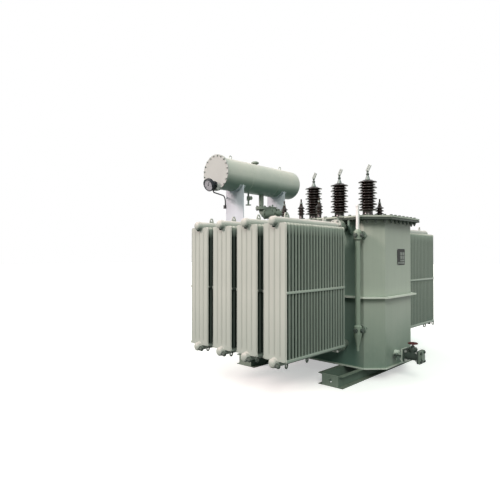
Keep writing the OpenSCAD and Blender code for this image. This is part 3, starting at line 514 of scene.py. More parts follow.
def bolt_tree():
    tree = bpy.data.node_groups.new("bolts_on_points", "GeometryNodeTree")
    socket(tree, "Geometry", "Geometry")
    for label in ("Across", "Head", "Washer", "End"):
        socket(tree, label, "Float")
    socket(tree, "Finish", "Material")
    socket(tree, "Geometry", "Geometry", "OUTPUT")
    source = add(tree, "NodeGroupInput").outputs
    head = upright(tree, calc(tree, "MULTIPLY", source["Across"], HEX_CORNER), source["Head"], 6)
    rim = calc(tree, "MULTIPLY", source["Washer"], 0.5)
    washer = add(tree, "GeometryNodeMeshCylinder", [(rim, "Radius")], in_Vertices=14,
                 in_Depth=2 * WASHER_HALF)
    reach = calc(tree, "ADD", source["Head"], source["End"])
    shank = upright(tree, calc(tree, "MULTIPLY", source["Across"], 0.33), reach, 10)
    whole = add(tree, "GeometryNodeJoinGeometry")
    for part in (head, washer.outputs[0], shank):
        tree.links.new(part, whole.inputs[0])
    aim = add(tree, "GeometryNodeInputNamedAttribute", data_type="FLOAT_VECTOR", in_Name="aim")
    turn = add(tree, "FunctionNodeAlignRotationToVector", [(aim.outputs["Attribute"], "Vector")], axis="Z")
    points = add(tree, "GeometryNodeMeshToPoints", [(source["Geometry"], "Mesh")])
    return close_tree(tree, points.outputs[0], whole.outputs[0], source, turn.outputs[0])


BOLTS = bolt_tree()
print("bolt tree has", len(BOLTS.nodes), "nodes")

# %% [markdown]
# To run a tree, a carrier object gets it as a modifier, its inputs are set by their identifiers, and the
# evaluated result is copied to a plain mesh. The carrier and its modifier then go. Bolts of one kind go
# through it together, as points that each carry a direction.


# %% Run a tree
def run_tree(tree, mesh, inputs):
    carrier = bpy.data.objects.new("carrier", mesh)
    bpy.context.collection.objects.link(carrier)
    modifier = carrier.modifiers.new("tree", "NODES")
    modifier.node_group = tree
    for item in tree.interface.items_tree:
        if item.in_out == "INPUT" and item.name in inputs:
            modifier[item.identifier] = inputs[item.name]
    bpy.context.view_layer.update()
    ready = carrier.evaluated_get(bpy.context.evaluated_depsgraph_get())
    result = bpy.data.meshes.new_from_object(ready)
    bpy.data.objects.remove(carrier)
    return result


def bolts(name, places, across, head, end=0.0, material=zinc):
    mesh = bpy.data.meshes.new(name + "_points")
    mesh.from_pydata([p for p, _ in places], [], [])
    aim = mesh.attributes.new("aim", "FLOAT_VECTOR", "POINT")
    for i, (_, direction) in enumerate(places):
        aim.data[i].vector = direction
    sizes = {"Across": across, "Head": head, "Washer": across * 1.35, "End": end, "Finish": material}
    made = run_tree(BOLTS, mesh, sizes)
    made.name = name
    print(name, len(places), "bolts")
    return finish_piece(made, name, None)


print("bolts go through", BOLTS.name)

# %% [markdown]
# The bolts' places come from two patterns: a ring round an axis, and a row along the tank's corner-cut
# outline. Typed lists would be long and easy to get wrong. Both patterns give a place and a direction for
# each bolt, which is all that the tree needs.


# %% Bolt patterns
def ring(centre, axis, radius, count, start=0.0):
    axis = Vector(axis).normalized()
    side = axis.orthogonal().normalized()
    other = axis.cross(side)
    turns = [start + 2 * math.pi * i / count for i in range(count)]
    return [(Vector(centre) + radius * (math.cos(a) * side + math.sin(a) * other), axis) for a in turns]


def corner_cut_outline(grow):
    l, w = tank_high[0] + grow, tank_high[1] + grow
    c = CUT + grow * (2 - math.sqrt(2))
    half = [(l - c, -w), (l, c - w), (l, w - c), (l - c, w)]
    return half + [(-x, -y) for x, y in half]


def along_outline(grow, spacing, z, direction):
    corners = [Vector(corner) for corner in corner_cut_outline(grow)]
    places = []
    for a, b in zip(corners, corners[1:] + corners[:1]):
        count = max(2, round((b - a).length / spacing))
        for i in range(count):
            p = a.lerp(b, (i + 0.5) / count)
            places.append(((p.x, p.y, z), direction))
    return places


print("outline corners:", len(corner_cut_outline(0.0)))

# %% [markdown]
# The cover is bolted to the tank's rim all round, through a rubber gasket, with a head above and a nut
# and the bolt's end below. The row runs along the outline, about a hand's width apart, in the middle of
# the rim. Typed places would drift off the rim if its size changed, so they are read from the outline.

# %% Cover bolts
GRIP = 0.5 * (rim_high[0] - tank_high[0]) + 0.012
SPACING = 0.105
above = along_outline(GRIP, SPACING, TOP + WASHER_HALF, (0, 0, 1))
below = along_outline(GRIP, SPACING, rim_low[2] - WASHER_HALF, (0, 0, -1))
bolts("cover_bolt_heads", above, 0.030, 0.012, 0.0, bolt_enamel)
bolts("cover_bolt_nuts", below, 0.030, 0.020, 0.016, bolt_enamel)

# %% [markdown]
# The conservator's end plate comes off for cleaning, so it sits on a ring of bolts near its edge. The
# ring's centre and radius come from the plate's own box, so no bolt can stray off it.

# %% Conservator end plate bolts
drum_x, drum_z = (plate_low[0] + plate_high[0]) / 2, (plate_low[2] + plate_high[2]) / 2
plate_r = (plate_high[0] - plate_low[0]) / 2
around = ring((drum_x, plate_low[1] - WASHER_HALF, drum_z), (0, -1, 0), plate_r - 0.016, 20)
bolts("end_plate_bolts", around, 0.021, 0.009, 0.004, end_plate_enamel)

# %% [markdown]
# The radiators are the face of this unit. A fin is two pressed steel sheets seamed at the edges, with
# flutes that let oil run down between them and fade out at the plain heads round the headers. Sculpting
# would lose the exact rhythm, so the fin's thickness follows a rule: thin at the seam, in the grooves and
# at the cut corners.

# %% Fin thickness
EDGE_RISE, GROOVE_RISE, FADE_EARLY, FADE_RISE = 0.008, 0.011, 0.02, 0.045


def soft(t):
    t = min(max(t, 0.0), 1.0)
    return t * t * (3 - 2 * t)


def outline_half(z):
    over = max(FIN_LOW + FIN_CORNER - z, z - (FIN_HIGH - FIN_CORNER), 0.0)
    return FIN_W / 2 - over


def half_thickness(x, z):
    if abs(x) >= FIN_INNER:
        return SEAM_T / 2
    side_rise = soft((FIN_INNER - abs(x)) / EDGE_RISE)
    edge = side_rise * soft((outline_half(z) - SEAM_W - abs(x)) / EDGE_RISE)
    wave = ((x + FIN_INNER) / FLUTE) % 1.0
    groove = soft(min(wave, 1 - wave) * FLUTE / GROOVE_RISE)
    in_flutes = soft((min(z - HEADER_Z - NECK, UPPER_Z - NECK - z) + FADE_EARLY) / FADE_RISE)
    full = groove * in_flutes + (1 - in_flutes)
    return SEAM_T / 2 + (FIN_T - SEAM_T) / 2 * full * edge


print("fin at a crest", round(2000 * half_thickness(FLUTE / 2, HEADER_Z + SPAN / 2), 1), "mm thick")

# %% [markdown]
# The fin's mesh is two grids, front and back, joined round the edge. The grid lines are close together
# only where the thickness changes, at the grooves and the heads, so the fin stays light enough to repeat.


# %% Fin mesh
def grid_lines():
    across = {0.0, -FIN_W / 2, FIN_W / 2}
    for inset in (0.004, 0.008):
        across |= {-FIN_INNER + inset, FIN_INNER - inset}
    for k in range(FLUTES + 1):
        for offset in (0.0, 0.0035, 0.007, 0.011, FLUTE / 2):
            for s in SIDES:
                x = -FIN_INNER + k * FLUTE + s * offset
                if abs(x) <= FIN_INNER + 1e-9:
                    across.add(round(x, 5))
    rows = [FIN_LOW + step for step in (0.0, 0.004, 0.008, FIN_CORNER, 0.020)]
    rows += [HEADER_Z + step for step in (0.042, 0.050, 0.058, 0.068, 0.087, SPAN / 2)]
    return sorted(across), sorted(set(rows + [FIN_LOW + FIN_HIGH - z for z in rows]))


def fin_mesh():
    across, rows = grid_lines()
    steps, levels = range(len(across) - 1), range(len(rows) - 1)
    shape = bmesh.new()
    grids = []
    for side in SIDES:
        grid = []
        for z in rows:
            narrow = min(outline_half(z) / (FIN_W / 2), 1.0)
            line = [(x * narrow, side * half_thickness(x * narrow, z), z) for x in across]
            grid.append([shape.verts.new(p) for p in line])
        grids.append(grid)
        for r in levels:
            for c in steps:
                quad = [grid[r][c], grid[r][c + 1], grid[r + 1][c + 1], grid[r + 1][c]]
                shape.faces.new(quad if side < 0 else quad[::-1])
    front, back = grids
    for r in levels:
        shape.faces.new([front[r][-1], back[r][-1], back[r + 1][-1], front[r + 1][-1]])
        shape.faces.new([back[r][0], front[r][0], front[r + 1][0], back[r + 1][0]])
    for c in steps:
        shape.faces.new([front[-1][c], front[-1][c + 1], back[-1][c + 1], back[-1][c]])
        shape.faces.new([back[0][c], back[0][c + 1], front[0][c + 1], front[0][c]])
    mesh = bpy.data.meshes.new("fin")
    shape.to_mesh(mesh)
    shape.free()
    mesh.set_sharp_from_angle(angle=math.radians(50))
    return mesh


FIN = fin_mesh()
print("fin", len(FIN.polygons), "faces")

# %% [markdown]
# A pack is the same fin over and over at one step. An Array modifier could do it too, but a tree keeps
# the number and the step as named inputs and sets the finish in the same place.


# %% Fin pack tree
def pack_tree():
    tree = bpy.data.node_groups.new("fin_pack", "GeometryNodeTree")
    socket(tree, "Geometry", "Geometry")
    socket(tree, "Fins", "Int")
    socket(tree, "Step", "Vector")
    socket(tree, "Finish", "Material")
    socket(tree, "Geometry", "Geometry", "OUTPUT")
    source = add(tree, "NodeGroupInput").outputs
    links = [(source["Fins"], "Count"), (source["Step"], "Offset")]
    line = add(tree, "GeometryNodeMeshLine", links, mode="OFFSET")
    return close_tree(tree, line.outputs[0], source["Geometry"], source)


STACK = pack_tree()
print("pack tree has", len(STACK.nodes), "nodes")

# %% [markdown]
# Most small metal parts are turned, flat or bent round. A turned part is a profile spun about Z. A Screw
# modifier could spin it too, but here the poles close to one point and the faces' directions stay in
# hand. Each shape is built at the origin as a bmesh, moved to its place, and joined with its like into
# one mesh.


# %% Turned shapes
def lathe(profile, segments=32):
    shape = bmesh.new()
    turns = [2 * math.pi * i / segments for i in range(segments)]
    rings = []
    for r, h in profile:
        places = [(0, 0, h)] if r < 1e-6 else [(r * math.cos(a), r * math.sin(a), h) for a in turns]
        rings.append([shape.verts.new(p) for p in places])
    for a, b in zip(rings, rings[1:]):
        for i in range(segments):
            j = (i + 1) % segments
            if len(a) == 1:
                shape.faces.new([a[0], b[i], b[j]])
            elif len(b) == 1:
                shape.faces.new([a[i], a[j], b[0]])
            else:
                shape.faces.new([a[i], a[j], b[j], b[i]])
    bmesh.ops.recalc_face_normals(shape, faces=shape.faces)
    return shape


def moved(shape, matrix):
    shape.transform(matrix)
    if matrix.determinant() < 0:
        bmesh.ops.reverse_faces(shape, faces=shape.faces)
    return shape


def joined(name, shapes):
    mesh = bpy.data.meshes.new(name)
    whole = bmesh.new()
    for shape in shapes:
        part = bpy.data.meshes.new("part")
        shape.to_mesh(part)
        shape.free()
        whole.from_mesh(part)
        bpy.data.meshes.remove(part)
    whole.to_mesh(mesh)
    whole.free()
    return mesh


def finish_shapes(name, shapes, material, smooth, replaces=()):
    print(name, "made of", len(shapes), "shapes")
    return finish_piece(joined(name, shapes), name, material, replaces, smooth)


print("turned shapes ready")

# %% [markdown]
# A flat bar is a box with bevelled edges, because a sharp edge catches no light. A ring is a torus, which
# one matrix turns to face any way. A plug is a short turned profile with six sides, so its flats come by
# themselves.


# %% Bars, rings and plugs
def box_shape(low, high, bevel=0.0015):
    shape = bmesh.new()
    bmesh.ops.create_cube(shape, size=1.0)
    size = [h - l for l, h in zip(low, high)]
    middle = [(l + h) / 2 for l, h in zip(low, high)]
    shape.transform(Matrix.Translation(middle) @ Matrix.Diagonal((*size, 1)))
    if bevel:
        bmesh.ops.bevel(shape, geom=shape.edges[:], offset=bevel, segments=2, affect="EDGES", profile=0.5)
    return shape


def torus_shape(radius, thick, matrix, around=24, across=10):
    shape = bmesh.new()
    rows = []
    for i in range(around):
        a = 2 * math.pi * i / around
        row = []
        for j in range(across):
            b = 2 * math.pi * j / across
            reach = radius + thick * math.cos(b)
            row.append(shape.verts.new((reach * math.cos(a), reach * math.sin(a), thick * math.sin(b))))
        rows.append(row)
    for row, following in zip(rows, rows[1:] + rows[:1]):
        for j in range(across):
            k = (j + 1) % across
            shape.faces.new([row[j], following[j], following[k], row[k]])
    return moved(shape, matrix)


def towards(place, direction):
    return Matrix.Translation(place) @ Vector(direction).to_track_quat("Z", "Y").to_matrix().to_4x4()


def plug_shape(place, direction, across, height):
    r = across * HEX_CORNER
    profile = [(0, 0), (r * 1.15, 0), (r * 1.15, height * 0.25), (r, height * 0.25), (r, height * 0.9),
               (r * 0.86, height), (0, height)]
    return moved(lathe(profile, 6), towards(place, direction))


print("bars, rings and plugs ready")

# %% [markdown]
# Each header is a pipe with a flange at the tank's end and a domed cap outside, so it is one turned
# profile. Over the upper header stand two plates with a hole, for a crane. The hole is part of the
# outline that is filled, which keeps the plate closed without a boolean.

# %% Header and lifting plate
DOME = 0.022
FLANGE_R = 0.075
LUG = [(-0.030, 0), (0.030, 0), (0.030, 0.058), (0.016, 0.094), (-0.016, 0.094), (-0.030, 0.058)]
LUG_HALF, LUG_HOLE_R, LUG_HOLE_UP, LUG_STEPS = 0.005, 0.013, 0.070, 12


def header_shape(z):
    length = JOINT + PACK + FIN_T / 2 + HEADER_OUT
    turns = [math.radians(d) for d in range(0, 90, 15)]
    profile = [(0, 0), (FLANGE_R, 0), (FLANGE_R, RAD_FLANGE)]
    profile += [(HEADER_R + 0.004, RAD_FLANGE), (HEADER_R, 0.022)]
    profile += [(HEADER_R * math.cos(a), length - DOME + DOME * math.sin(a)) for a in turns] + [(0, length)]
    outward = Matrix.Rotation(math.radians(90), 4, "X")
    return moved(lathe(profile, 28), Matrix.Translation((0, JOINT, z)) @ outward)


def lug_shape(y):
    turns = [2 * math.pi * i / LUG_STEPS for i in range(LUG_STEPS)]
    hole = [(LUG_HOLE_R * math.cos(t), LUG_HOLE_UP + LUG_HOLE_R * math.sin(t)) for t in turns]
    shape = bmesh.new()
    faces = []
    for s in SIDES:
        loops = [[shape.verts.new((s * LUG_HALF, y + a, UPPER_Z + b)) for a, b in outline]
                 for outline in (LUG, hole)]
        edges = [shape.edges.new(pair) for loop in loops for pair in zip(loop, loop[1:] + loop[:1])]
        bmesh.ops.triangle_fill(shape, use_beauty=True, edges=edges)
        faces.append(loops)
    for near, far in zip(*faces):
        for i in range(len(near)):
            j = (i + 1) % len(near)
            shape.faces.new([near[i], near[j], far[j], far[i]])
    bmesh.ops.recalc_face_normals(shape, faces=shape.faces)
    return shape


print("header length", round(JOINT + PACK + FIN_T / 2 + HEADER_OUT, 3))

# %% [markdown]
# A radiator is then a stack of fins, two headers with a weld collar where they leave the last fin, two
# lifting plates, and flat tie bars along both edges of the stack, at half height and at the foot. The far
# side's packs are the near ones mirrored in Y, with their faces turned back outwards.

# %% Build the eight radiators
TIE_UP, TIE_HALF = 0.664, 0.0125


def radiator_mesh(x, side, name):
    face = -PACK - FIN_T / 2
    sizes = {"Fins": COUNT, "Step": (0, -PITCH, 0), "Finish": radiator_enamel}
    fins = run_tree(STACK, FIN.copy(), sizes)
    shapes = [header_shape(HEADER_Z), header_shape(UPPER_Z)]
    shapes += [lug_shape(-0.17 * PACK), lug_shape(-0.83 * PACK)]
    for s in SIDES:
        near, far = sorted((s * (FIN_W / 2 - 0.002), s * (FIN_W / 2 + 0.004)))
        for z in (HEADER_Z + TIE_UP, FIN_LOW + TIE_HALF):
            shapes.append(box_shape((near, face, z - TIE_HALF), (far, FIN_T / 2, z + TIE_HALF)))
    for z in (HEADER_Z, UPPER_Z):
        shapes.append(torus_shape(HEADER_R + 0.001, 0.005, towards((0, face, z), (0, -1, 0))))
    whole = bmesh.new()
    whole.from_mesh(fins)
    whole.from_mesh(joined("rest", shapes))
    place = Matrix.Translation((x, tank_low[1] - RAD_GAP, 0))
    moved(whole, place if side < 0 else Matrix.Diagonal((1, -1, 1, 1)) @ place)
    mesh = bpy.data.meshes.new(name)
    whole.to_mesh(mesh)
    whole.free()
    return mesh


for side, word in zip(SIDES, ("front", "back")):
    for i, x in enumerate(PACK_X):
        name = f"radiator_{word}_{i + 1}"
        mesh = radiator_mesh(x, side, name + "_dressed")
        finish_piece(mesh, name + "_dressed", radiator_enamel, (name,), 45)
print("radiators made, faces each:", len(mesh.polygons))

# %% [markdown]
# Every header has an iron plug in its end cap: a drain plug at the side of the lower one and a small air
# plug under the upper one, tilted outwards. A plug is a six-sided turned profile with a collar and a
# chamfered top, because the plain heads of the bolt tree would look too simple so near to the eye.

# %% Header plugs
CAP_OUT = FIN_T / 2 + 0.026
DRAIN_PLUG, AIR_PLUG = (0.036, 0.046), (0.030, 0.026)
plugs = []
for side in SIDES:
    y = side * (LAST_FIN + CAP_OUT)
    for x in PACK_X:
        plugs.append(plug_shape((x + 0.036, y, HEADER_Z - 0.012), (0.96, 0, -0.28), *DRAIN_PLUG))
        air = (x + 0.012, y - side * 0.004, UPPER_Z - 0.034)
        plugs.append(plug_shape(air, (0.2, side * 0.55, -0.81), *AIR_PLUG))
finish_shapes("header_plugs", plugs, iron_enamel, 40)

# %% [markdown]
# Under one lower edge of each pack hang two forged ring eyes, for a sling or a lashing. Each is a torus,
# turned a little so that it doesn't lie flat to the eye. A bent curve would do as well, but a torus has
# no seam to close.

# %% Ring eyes
EYE_R, EYE_WIRE, EYE_OUT, EYE_DOWN = 0.023, 0.0075, 0.134, 0.025
eyes = []
for side in SIDES:
    for x in PACK_X:
        for inward in (0.004, 0.325):
            place = (x + EYE_OUT, side * (LAST_FIN - inward), FIN_LOW - EYE_DOWN)
            eyes.append(torus_shape(EYE_R, EYE_WIRE, towards(place, (1, -side * 0.25, 0))))
finish_shapes("ring_eyes", eyes, iron_enamel, 60)

# %% [markdown]
# A bushing's porcelain is a turned column with sheds, thin skirts that keep rain from running down it in
# one line. The CAD column has plain sheds. This profile keeps its sizes and rounds every lip, because the
# glaze runs over them and the round lip is what catches the light.

# %% Tall porcelain
HV_CORE, HV_FOOT, HV_COLUMN, SHED_STEP = 0.065, 0.026, 0.506, 0.072
BIG_SHED, SMALL_SHED, BIG_SHEDS = 0.120, 0.100, 6


def shed_profile(core, radius, h):
    return [(core, h - 0.016), (core + 0.004, h - 0.013), (radius - 0.012, h - 0.008),
            (radius - 0.004, h - 0.007), (radius - 0.0008, h - 0.004), (radius, h),
            (radius - 0.0015, h + 0.003), (radius - 0.006, h + 0.006), (core + 0.010, h + 0.017),
            (core + 0.003, h + 0.021), (core, h + 0.027)]


def tall_porcelain():
    core, foot, end = HV_CORE, HV_FOOT, HV_FOOT + HV_COLUMN
    profile = [(0, foot), (core + 0.016, foot), (core + 0.018, foot + 0.003), (core + 0.018, foot + 0.036),
               (core + 0.014, foot + 0.046), (core, foot + 0.072)]
    for i in range(BIG_SHEDS):
        h = foot + 0.120 + i * SHED_STEP
        profile += shed_profile(core, BIG_SHED, h)
        if i < BIG_SHEDS - 1:
            profile += shed_profile(core, SMALL_SHED, h + SHED_STEP / 2)
    return profile + [(core, end - 0.014), (core - 0.003, end - 0.006), (core - 0.012, end), (0, end)]


tall = [moved(lathe(tall_porcelain(), 48), Matrix.Translation((x, HV_Y, TOP))) for x in HV_X]
finish_shapes("hv_glazed_porcelain", tall, porcelain, 60, ("hv_porcelain",))

# %% [markdown]
# The short bushings carry the low voltage, so they need fewer and smaller sheds, and the neutral beside
# the tall ones has one more. The same kind of profile serves, with the radius and the number of sheds as
# its inputs.

# %% Short porcelain
LV_CORE, LV_FOOT, LV_TOP_SHED, LV_STEP = 0.028, 0.014, 0.166, 0.038
LV_CONE, LV_CAP = 0.036, 0.022
SHORT = [(x, -0.25, 0.048, 3) for x in (-0.562, -0.275, 0.012)] + [(0.496, 0.44, 0.056, 4)]


def short_porcelain(radius, count):
    core, foot = LV_CORE, LV_FOOT
    profile = [(0, foot), (core + 0.009, foot), (core + 0.010, foot + 0.012), (core, foot + 0.022)]
    for i in range(count):
        h = foot + LV_TOP_SHED - (count - 1 - i) * LV_STEP
        profile += [(core, h - 0.013), (core + 0.004, h - 0.011), (radius - 0.008, h - 0.007),
                    (radius - 0.001, h - 0.003), (radius, h), (radius - 0.002, h + 0.003),
                    (radius - 0.007, h + 0.005), (core + 0.006, h + 0.013), (core, h + 0.020)]
    return profile + [(0.022, foot + 0.199), (0.020, foot + 0.202), (0, foot + 0.202)]


short = [moved(lathe(short_porcelain(r, n), 36), Matrix.Translation((x, y, TOP))) for x, y, r, n in SHORT]
finish_shapes("lv_glazed_porcelain", short, porcelain, 60, ("lv_porcelain",))

# %% [markdown]
# Each bushing stands on a clamped flange: eight bolts under a tall one and four under a short one. They
# are zinc-plated and left bare, since they were fitted after painting. The bolt tree takes all their
# rings in one list, so they stay one piece.

# %% Bushing bolts
HV_RING, LV_RING = 0.101, 0.050
places = []
for x in HV_X:
    places += ring((x, HV_Y, TOP + HV_FOOT + WASHER_HALF), (0, 0, 1), HV_RING, 8, 0.2)
for x, y, _, _ in SHORT:
    places += ring((x, y, TOP + LV_FOOT + WASHER_HALF), (0, 0, 1), LV_RING, 4, 0.4)
bolts("bushing_bolts", places, 0.019, 0.010, 0.006)

# %% [markdown]
# A butterfly valve sits between each header and the tank. Long bolts clamp it between two flanges, with a
# head on the outside of each, so every joint gets two rings that face away from each other.

# %% Radiator flange bolts
RAD_RING = 0.062
places = []
for side in SIDES:
    for x in PACK_X:
        for z in (HEADER_Z, UPPER_Z):
            y = side * (tank_high[1] + RAD_GAP - JOINT)
            outside = y + side * (RAD_FLANGE + WASHER_HALF)
            inside = y - side * (RAD_FLANGE + VALVE_BODY + RAD_FLANGE + WASHER_HALF)
            places += ring((x, outside, z), (0, side, 0), RAD_RING, 6, 0.3)
            places += ring((x, inside, z), (0, -side, 0), RAD_RING, 6, 0.3)
bolts("radiator_flange_bolts", places, 0.019, 0.011, 0.006)

# %% [markdown]
# The drain valve has square flanges with a bolt in each corner, at the neck and at the blank flange. The
# places are read from the flanges' boxes, a fixed distance in from each corner, so that heads and nuts
# line up.

# %% Drain flange bolts
DRAIN_FLANGE, CORNER_IN = 0.018, 0.024
drain_low, drain_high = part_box("drain_blank_flange")
valve_low, valve_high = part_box("drain_valve")
seat = DRAIN_FLANGE + WASHER_HALF
places = []
for y in (drain_low[1] + CORNER_IN, drain_high[1] - CORNER_IN):
    for z in (drain_low[2] + CORNER_IN, drain_high[2] - CORNER_IN):
        places.append(((valve_low[0] - seat, y, z), (-1, 0, 0)))
        places.append(((valve_low[0] + seat, y, z), (1, 0, 0)))
        places.append(((valve_high[0] - seat, y, z), (-1, 0, 0)))
bolts("drain_flange_bolts", places, 0.024, 0.013, 0.008)

# %% [markdown]
# Welds run wherever two plates of the tank meet. A bead could be a bump in the paint, but then its edge
# would stay straight in outline. Here it is a thin tube along the seam, made from a curve whose radius
# ripples as the welder's hand moved, and turned into a mesh.


# %% Weld beads
def bead(points, radius, closed=False):
    curve = bpy.data.curves.new("weld", "CURVE")
    curve.dimensions = "3D"
    curve.bevel_depth = radius
    curve.bevel_resolution = 2
    curve.use_fill_caps = not closed
    spline = curve.splines.new("POLY")
    dense = []
    count = len(points)
    for k in range(count if closed else count - 1):
        a, b = Vector(points[k]), Vector(points[(k + 1) % count])
        steps = max(1, int((b - a).length / 0.02))
        dense += [a.lerp(b, i / steps) for i in range(steps)]
    if not closed:
        dense.append(Vector(points[-1]))
    spline.points.add(len(dense) - 1)
    for i, p in enumerate(dense):
        spline.points[i].co = (*p, 1.0)
        spline.points[i].radius = 1.0 + 0.22 * math.sin(i * 1.7) * math.sin(i * 0.37)
    spline.use_cyclic_u = closed
    holder = bpy.data.objects.new("weld", curve)
    bpy.context.collection.objects.link(holder)
    bpy.context.view_layer.update()
    ready = holder.evaluated_get(bpy.context.evaluated_depsgraph_get())
    mesh = bpy.data.meshes.new_from_object(ready)
    bpy.data.objects.remove(holder)
    shape = bmesh.new()
    shape.from_mesh(mesh)
    bpy.data.meshes.remove(mesh)
    return shape


BEAD_R, BEAD_OFF = 0.004, 0.002
seam = corner_cut_outline(0.001)
heights = (tank_low[2] + BEAD_OFF, rim_low[2] - BEAD_OFF, band_low[2] - BEAD_OFF, band_high[2] + BEAD_OFF)
beads = [bead([(x, y, z) for x, y in seam], BEAD_R, True) for z in heights]
finish_shapes("tank_welds", beads, weld_paint, 60)

# %% [markdown]
# The pipe run from the drum to the cover is bolted together from flanged lengths. Each joint gets its
# rings of bolts. Most are set where the box of a CAD pipe ends, so they follow the pipes, and two lengths
# that no box gives are named.

# %% Pipe flange bolts
PIPE_SEAT = 0.020 + WASHER_HALF
PIPE_RING, RELAY_RING = 0.069, 0.064
RUN_UP, COVER_FLANGE_IN = 0.185, 0.150
relay_low, relay_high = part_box("gas_relay")
riser_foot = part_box("riser_pipe")[0][2]
pipe_y = (relay_low[1] + relay_high[1]) / 2
run_z = TOP + RUN_UP
places = ring((drum_x, pipe_y, riser_foot + PIPE_SEAT), (0, 0, 1), PIPE_RING, 6, 0.3)
places += ring((drum_x, pipe_y, riser_foot - PIPE_SEAT), (0, 0, -1), PIPE_RING, 6, 0.3)
places += ring((tank_low[0] + COVER_FLANGE_IN, pipe_y, TOP + PIPE_SEAT), (0, 0, 1), PIPE_RING, 6, 0.3)
for face in (relay_low[0], relay_high[0]):
    for way in SIDES:
        places += ring((face + way * PIPE_SEAT, pipe_y, run_z), (way, 0, 0), RELAY_RING, 6, 0.3)
bolts("pipe_flange_bolts", places, 0.019, 0.011, 0.006, bolt_enamel)

# %% [markdown]
# The oil filter's two heads have hexagon plugs for bleeding and cleaning, and each branch has a small
# flange pair with four bolts from either side. The plugs are turned one by one, since each faces its own
# way, and the bolts go to the tree.

# %% Filter plugs and flange bolts
FILTER_HEADS, FILTER_RING = (0.578, 1.615), 0.040
FILTER_PLUG, PLUG_IN = (0.040, 0.026), 0.003
NEAR_FLANGE, FAR_FLANGE = 0.019, 0.057
filter_low, filter_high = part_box("oil_filter")
fx, fy = (filter_low[0] + filter_high[0]) / 2, (filter_low[1] + filter_high[1]) / 2
head_r = (filter_high[0] - filter_low[0]) / 2
shapes, places = [], []
for z in FILTER_HEADS:
    shapes.append(plug_shape((fx, fy - head_r + PLUG_IN, z), (0, -1, 0), *FILTER_PLUG))
    shapes.append(plug_shape((fx + head_r - PLUG_IN, fy, z), (1, 0, 0), *FILTER_PLUG))
    places += ring((fx, fy + head_r + NEAR_FLANGE, z), (0, -1, 0), FILTER_RING, 4, 0.4)
    places += ring((fx, fy + head_r + FAR_FLANGE, z), (0, 1, 0), FILTER_RING, 4, 0.4)
finish_shapes("filter_plugs", shapes, iron_enamel, 30)
bolts("filter_flange_bolts", places, 0.017, 0.010, 0.005, bolt_enamel)

# %% [markdown]
# The tall bushings end in a turned cap with a dark clamping nut, and a second nut holds the flag. Both
# are rounded, so a squashed ball is turned for each. The short ones have a nut and a washer on the stud,
# which the bolt tree already makes.


# %% Terminal nuts
def knob(radius, squash, place):
    turns = [math.radians(d) for d in range(-75, 90, 15)]
    profile = [(radius * math.cos(a), radius * squash * math.sin(a)) for a in turns]
    profile = [(0, -radius * squash)] + profile + [(0, radius * squash)]
    return moved(lathe(profile, 20), Matrix.Translation(place))


HV_CAP = 0.062
cap_z = TOP + HV_FOOT + HV_COLUMN + HV_CAP
shapes = []
for x in HV_X:
    shapes.append(knob(0.0205, 0.95, (x, HV_Y, cap_z + 0.018)))
    shapes.append(knob(0.0165, 0.8, (x, HV_Y, cap_z + 0.052)))
finish_shapes("hv_clamp_nuts", shapes, iron_enamel, 60)
stud_z = TOP + LV_FOOT + LV_TOP_SHED + LV_CONE + LV_CAP
places = [((x, y, stud_z + 0.004), (0, 0, 1)) for x, y, _, _ in SHORT]
bolts("lv_stud_nuts", places, 0.030, 0.016, 0.0, tinned_copper)

# %% [markdown]
# The oil gauge is a magnetic dial on a neck, turned down so that it reads from the ground. Its ticks,
# pointer, hub and bezel are laid out flat in the dial's own frame and then turned with it by one matrix.

# %% Oil gauge
gauge_x, gauge_z = drum_x - 0.015, drum_z - 0.172
GAUGE_TIP, NEEDLE, FIRST_TICK, TICK_TURN = 115, -38, -120, 24
tipped = Matrix.Rotation(math.radians(GAUGE_TIP), 4, "X")
GAUGE = Matrix.Translation((gauge_x, plate_low[1] - 0.084, gauge_z)) @ tipped
TICKS, TICK_OUT = 11, 0.068
marks = []
for i in range(TICKS):
    turn = Matrix.Rotation(math.radians(FIRST_TICK + TICK_TURN * i), 4, "Z")
    inner = TICK_OUT - (0.016 if i % 5 == 0 else 0.010)
    tick = box_shape((-0.0014, inner, 0.0418), (0.0014, TICK_OUT, 0.0428), 0.0)
    marks.append(moved(tick, GAUGE @ turn))
needle = Matrix.Rotation(math.radians(NEEDLE), 4, "Z")
marks.append(moved(box_shape((-0.002, -0.016, 0.0432), (0.002, 0.056, 0.0446), 0.0004), GAUGE @ needle))
hub = [(0, 0.0415), (0.010, 0.0415), (0.010, 0.0455), (0.007, 0.047), (0, 0.047)]
marks.append(moved(lathe(hub, 20), GAUGE))
finish_shapes("gauge_marks", marks, dial_ink, 30)
bezel = [torus_shape(radius, thick, GAUGE @ Matrix.Translation((0, 0, up)), 48)
         for radius, thick, up in ((0.0815, 0.0065, 0.0455), (0.0895, 0.0035, 0.010))]
finish_shapes("gauge_bezel", bezel, gauge_enamel, 60)
places = ring((gauge_x, plate_low[1] - 0.015, gauge_z), (0, -1, 0), 0.046, 6, 0.2)
bolts("gauge_flange_bolts", places, 0.013, 0.008, 0.004, bolt_enamel)

# %% [markdown]
# The rating plate is a dark anodised sheet with paler etched fields, held by four rivets. The fields are
# thin plates that stand a little proud, so they keep a crisp edge that a painted mask would blur.

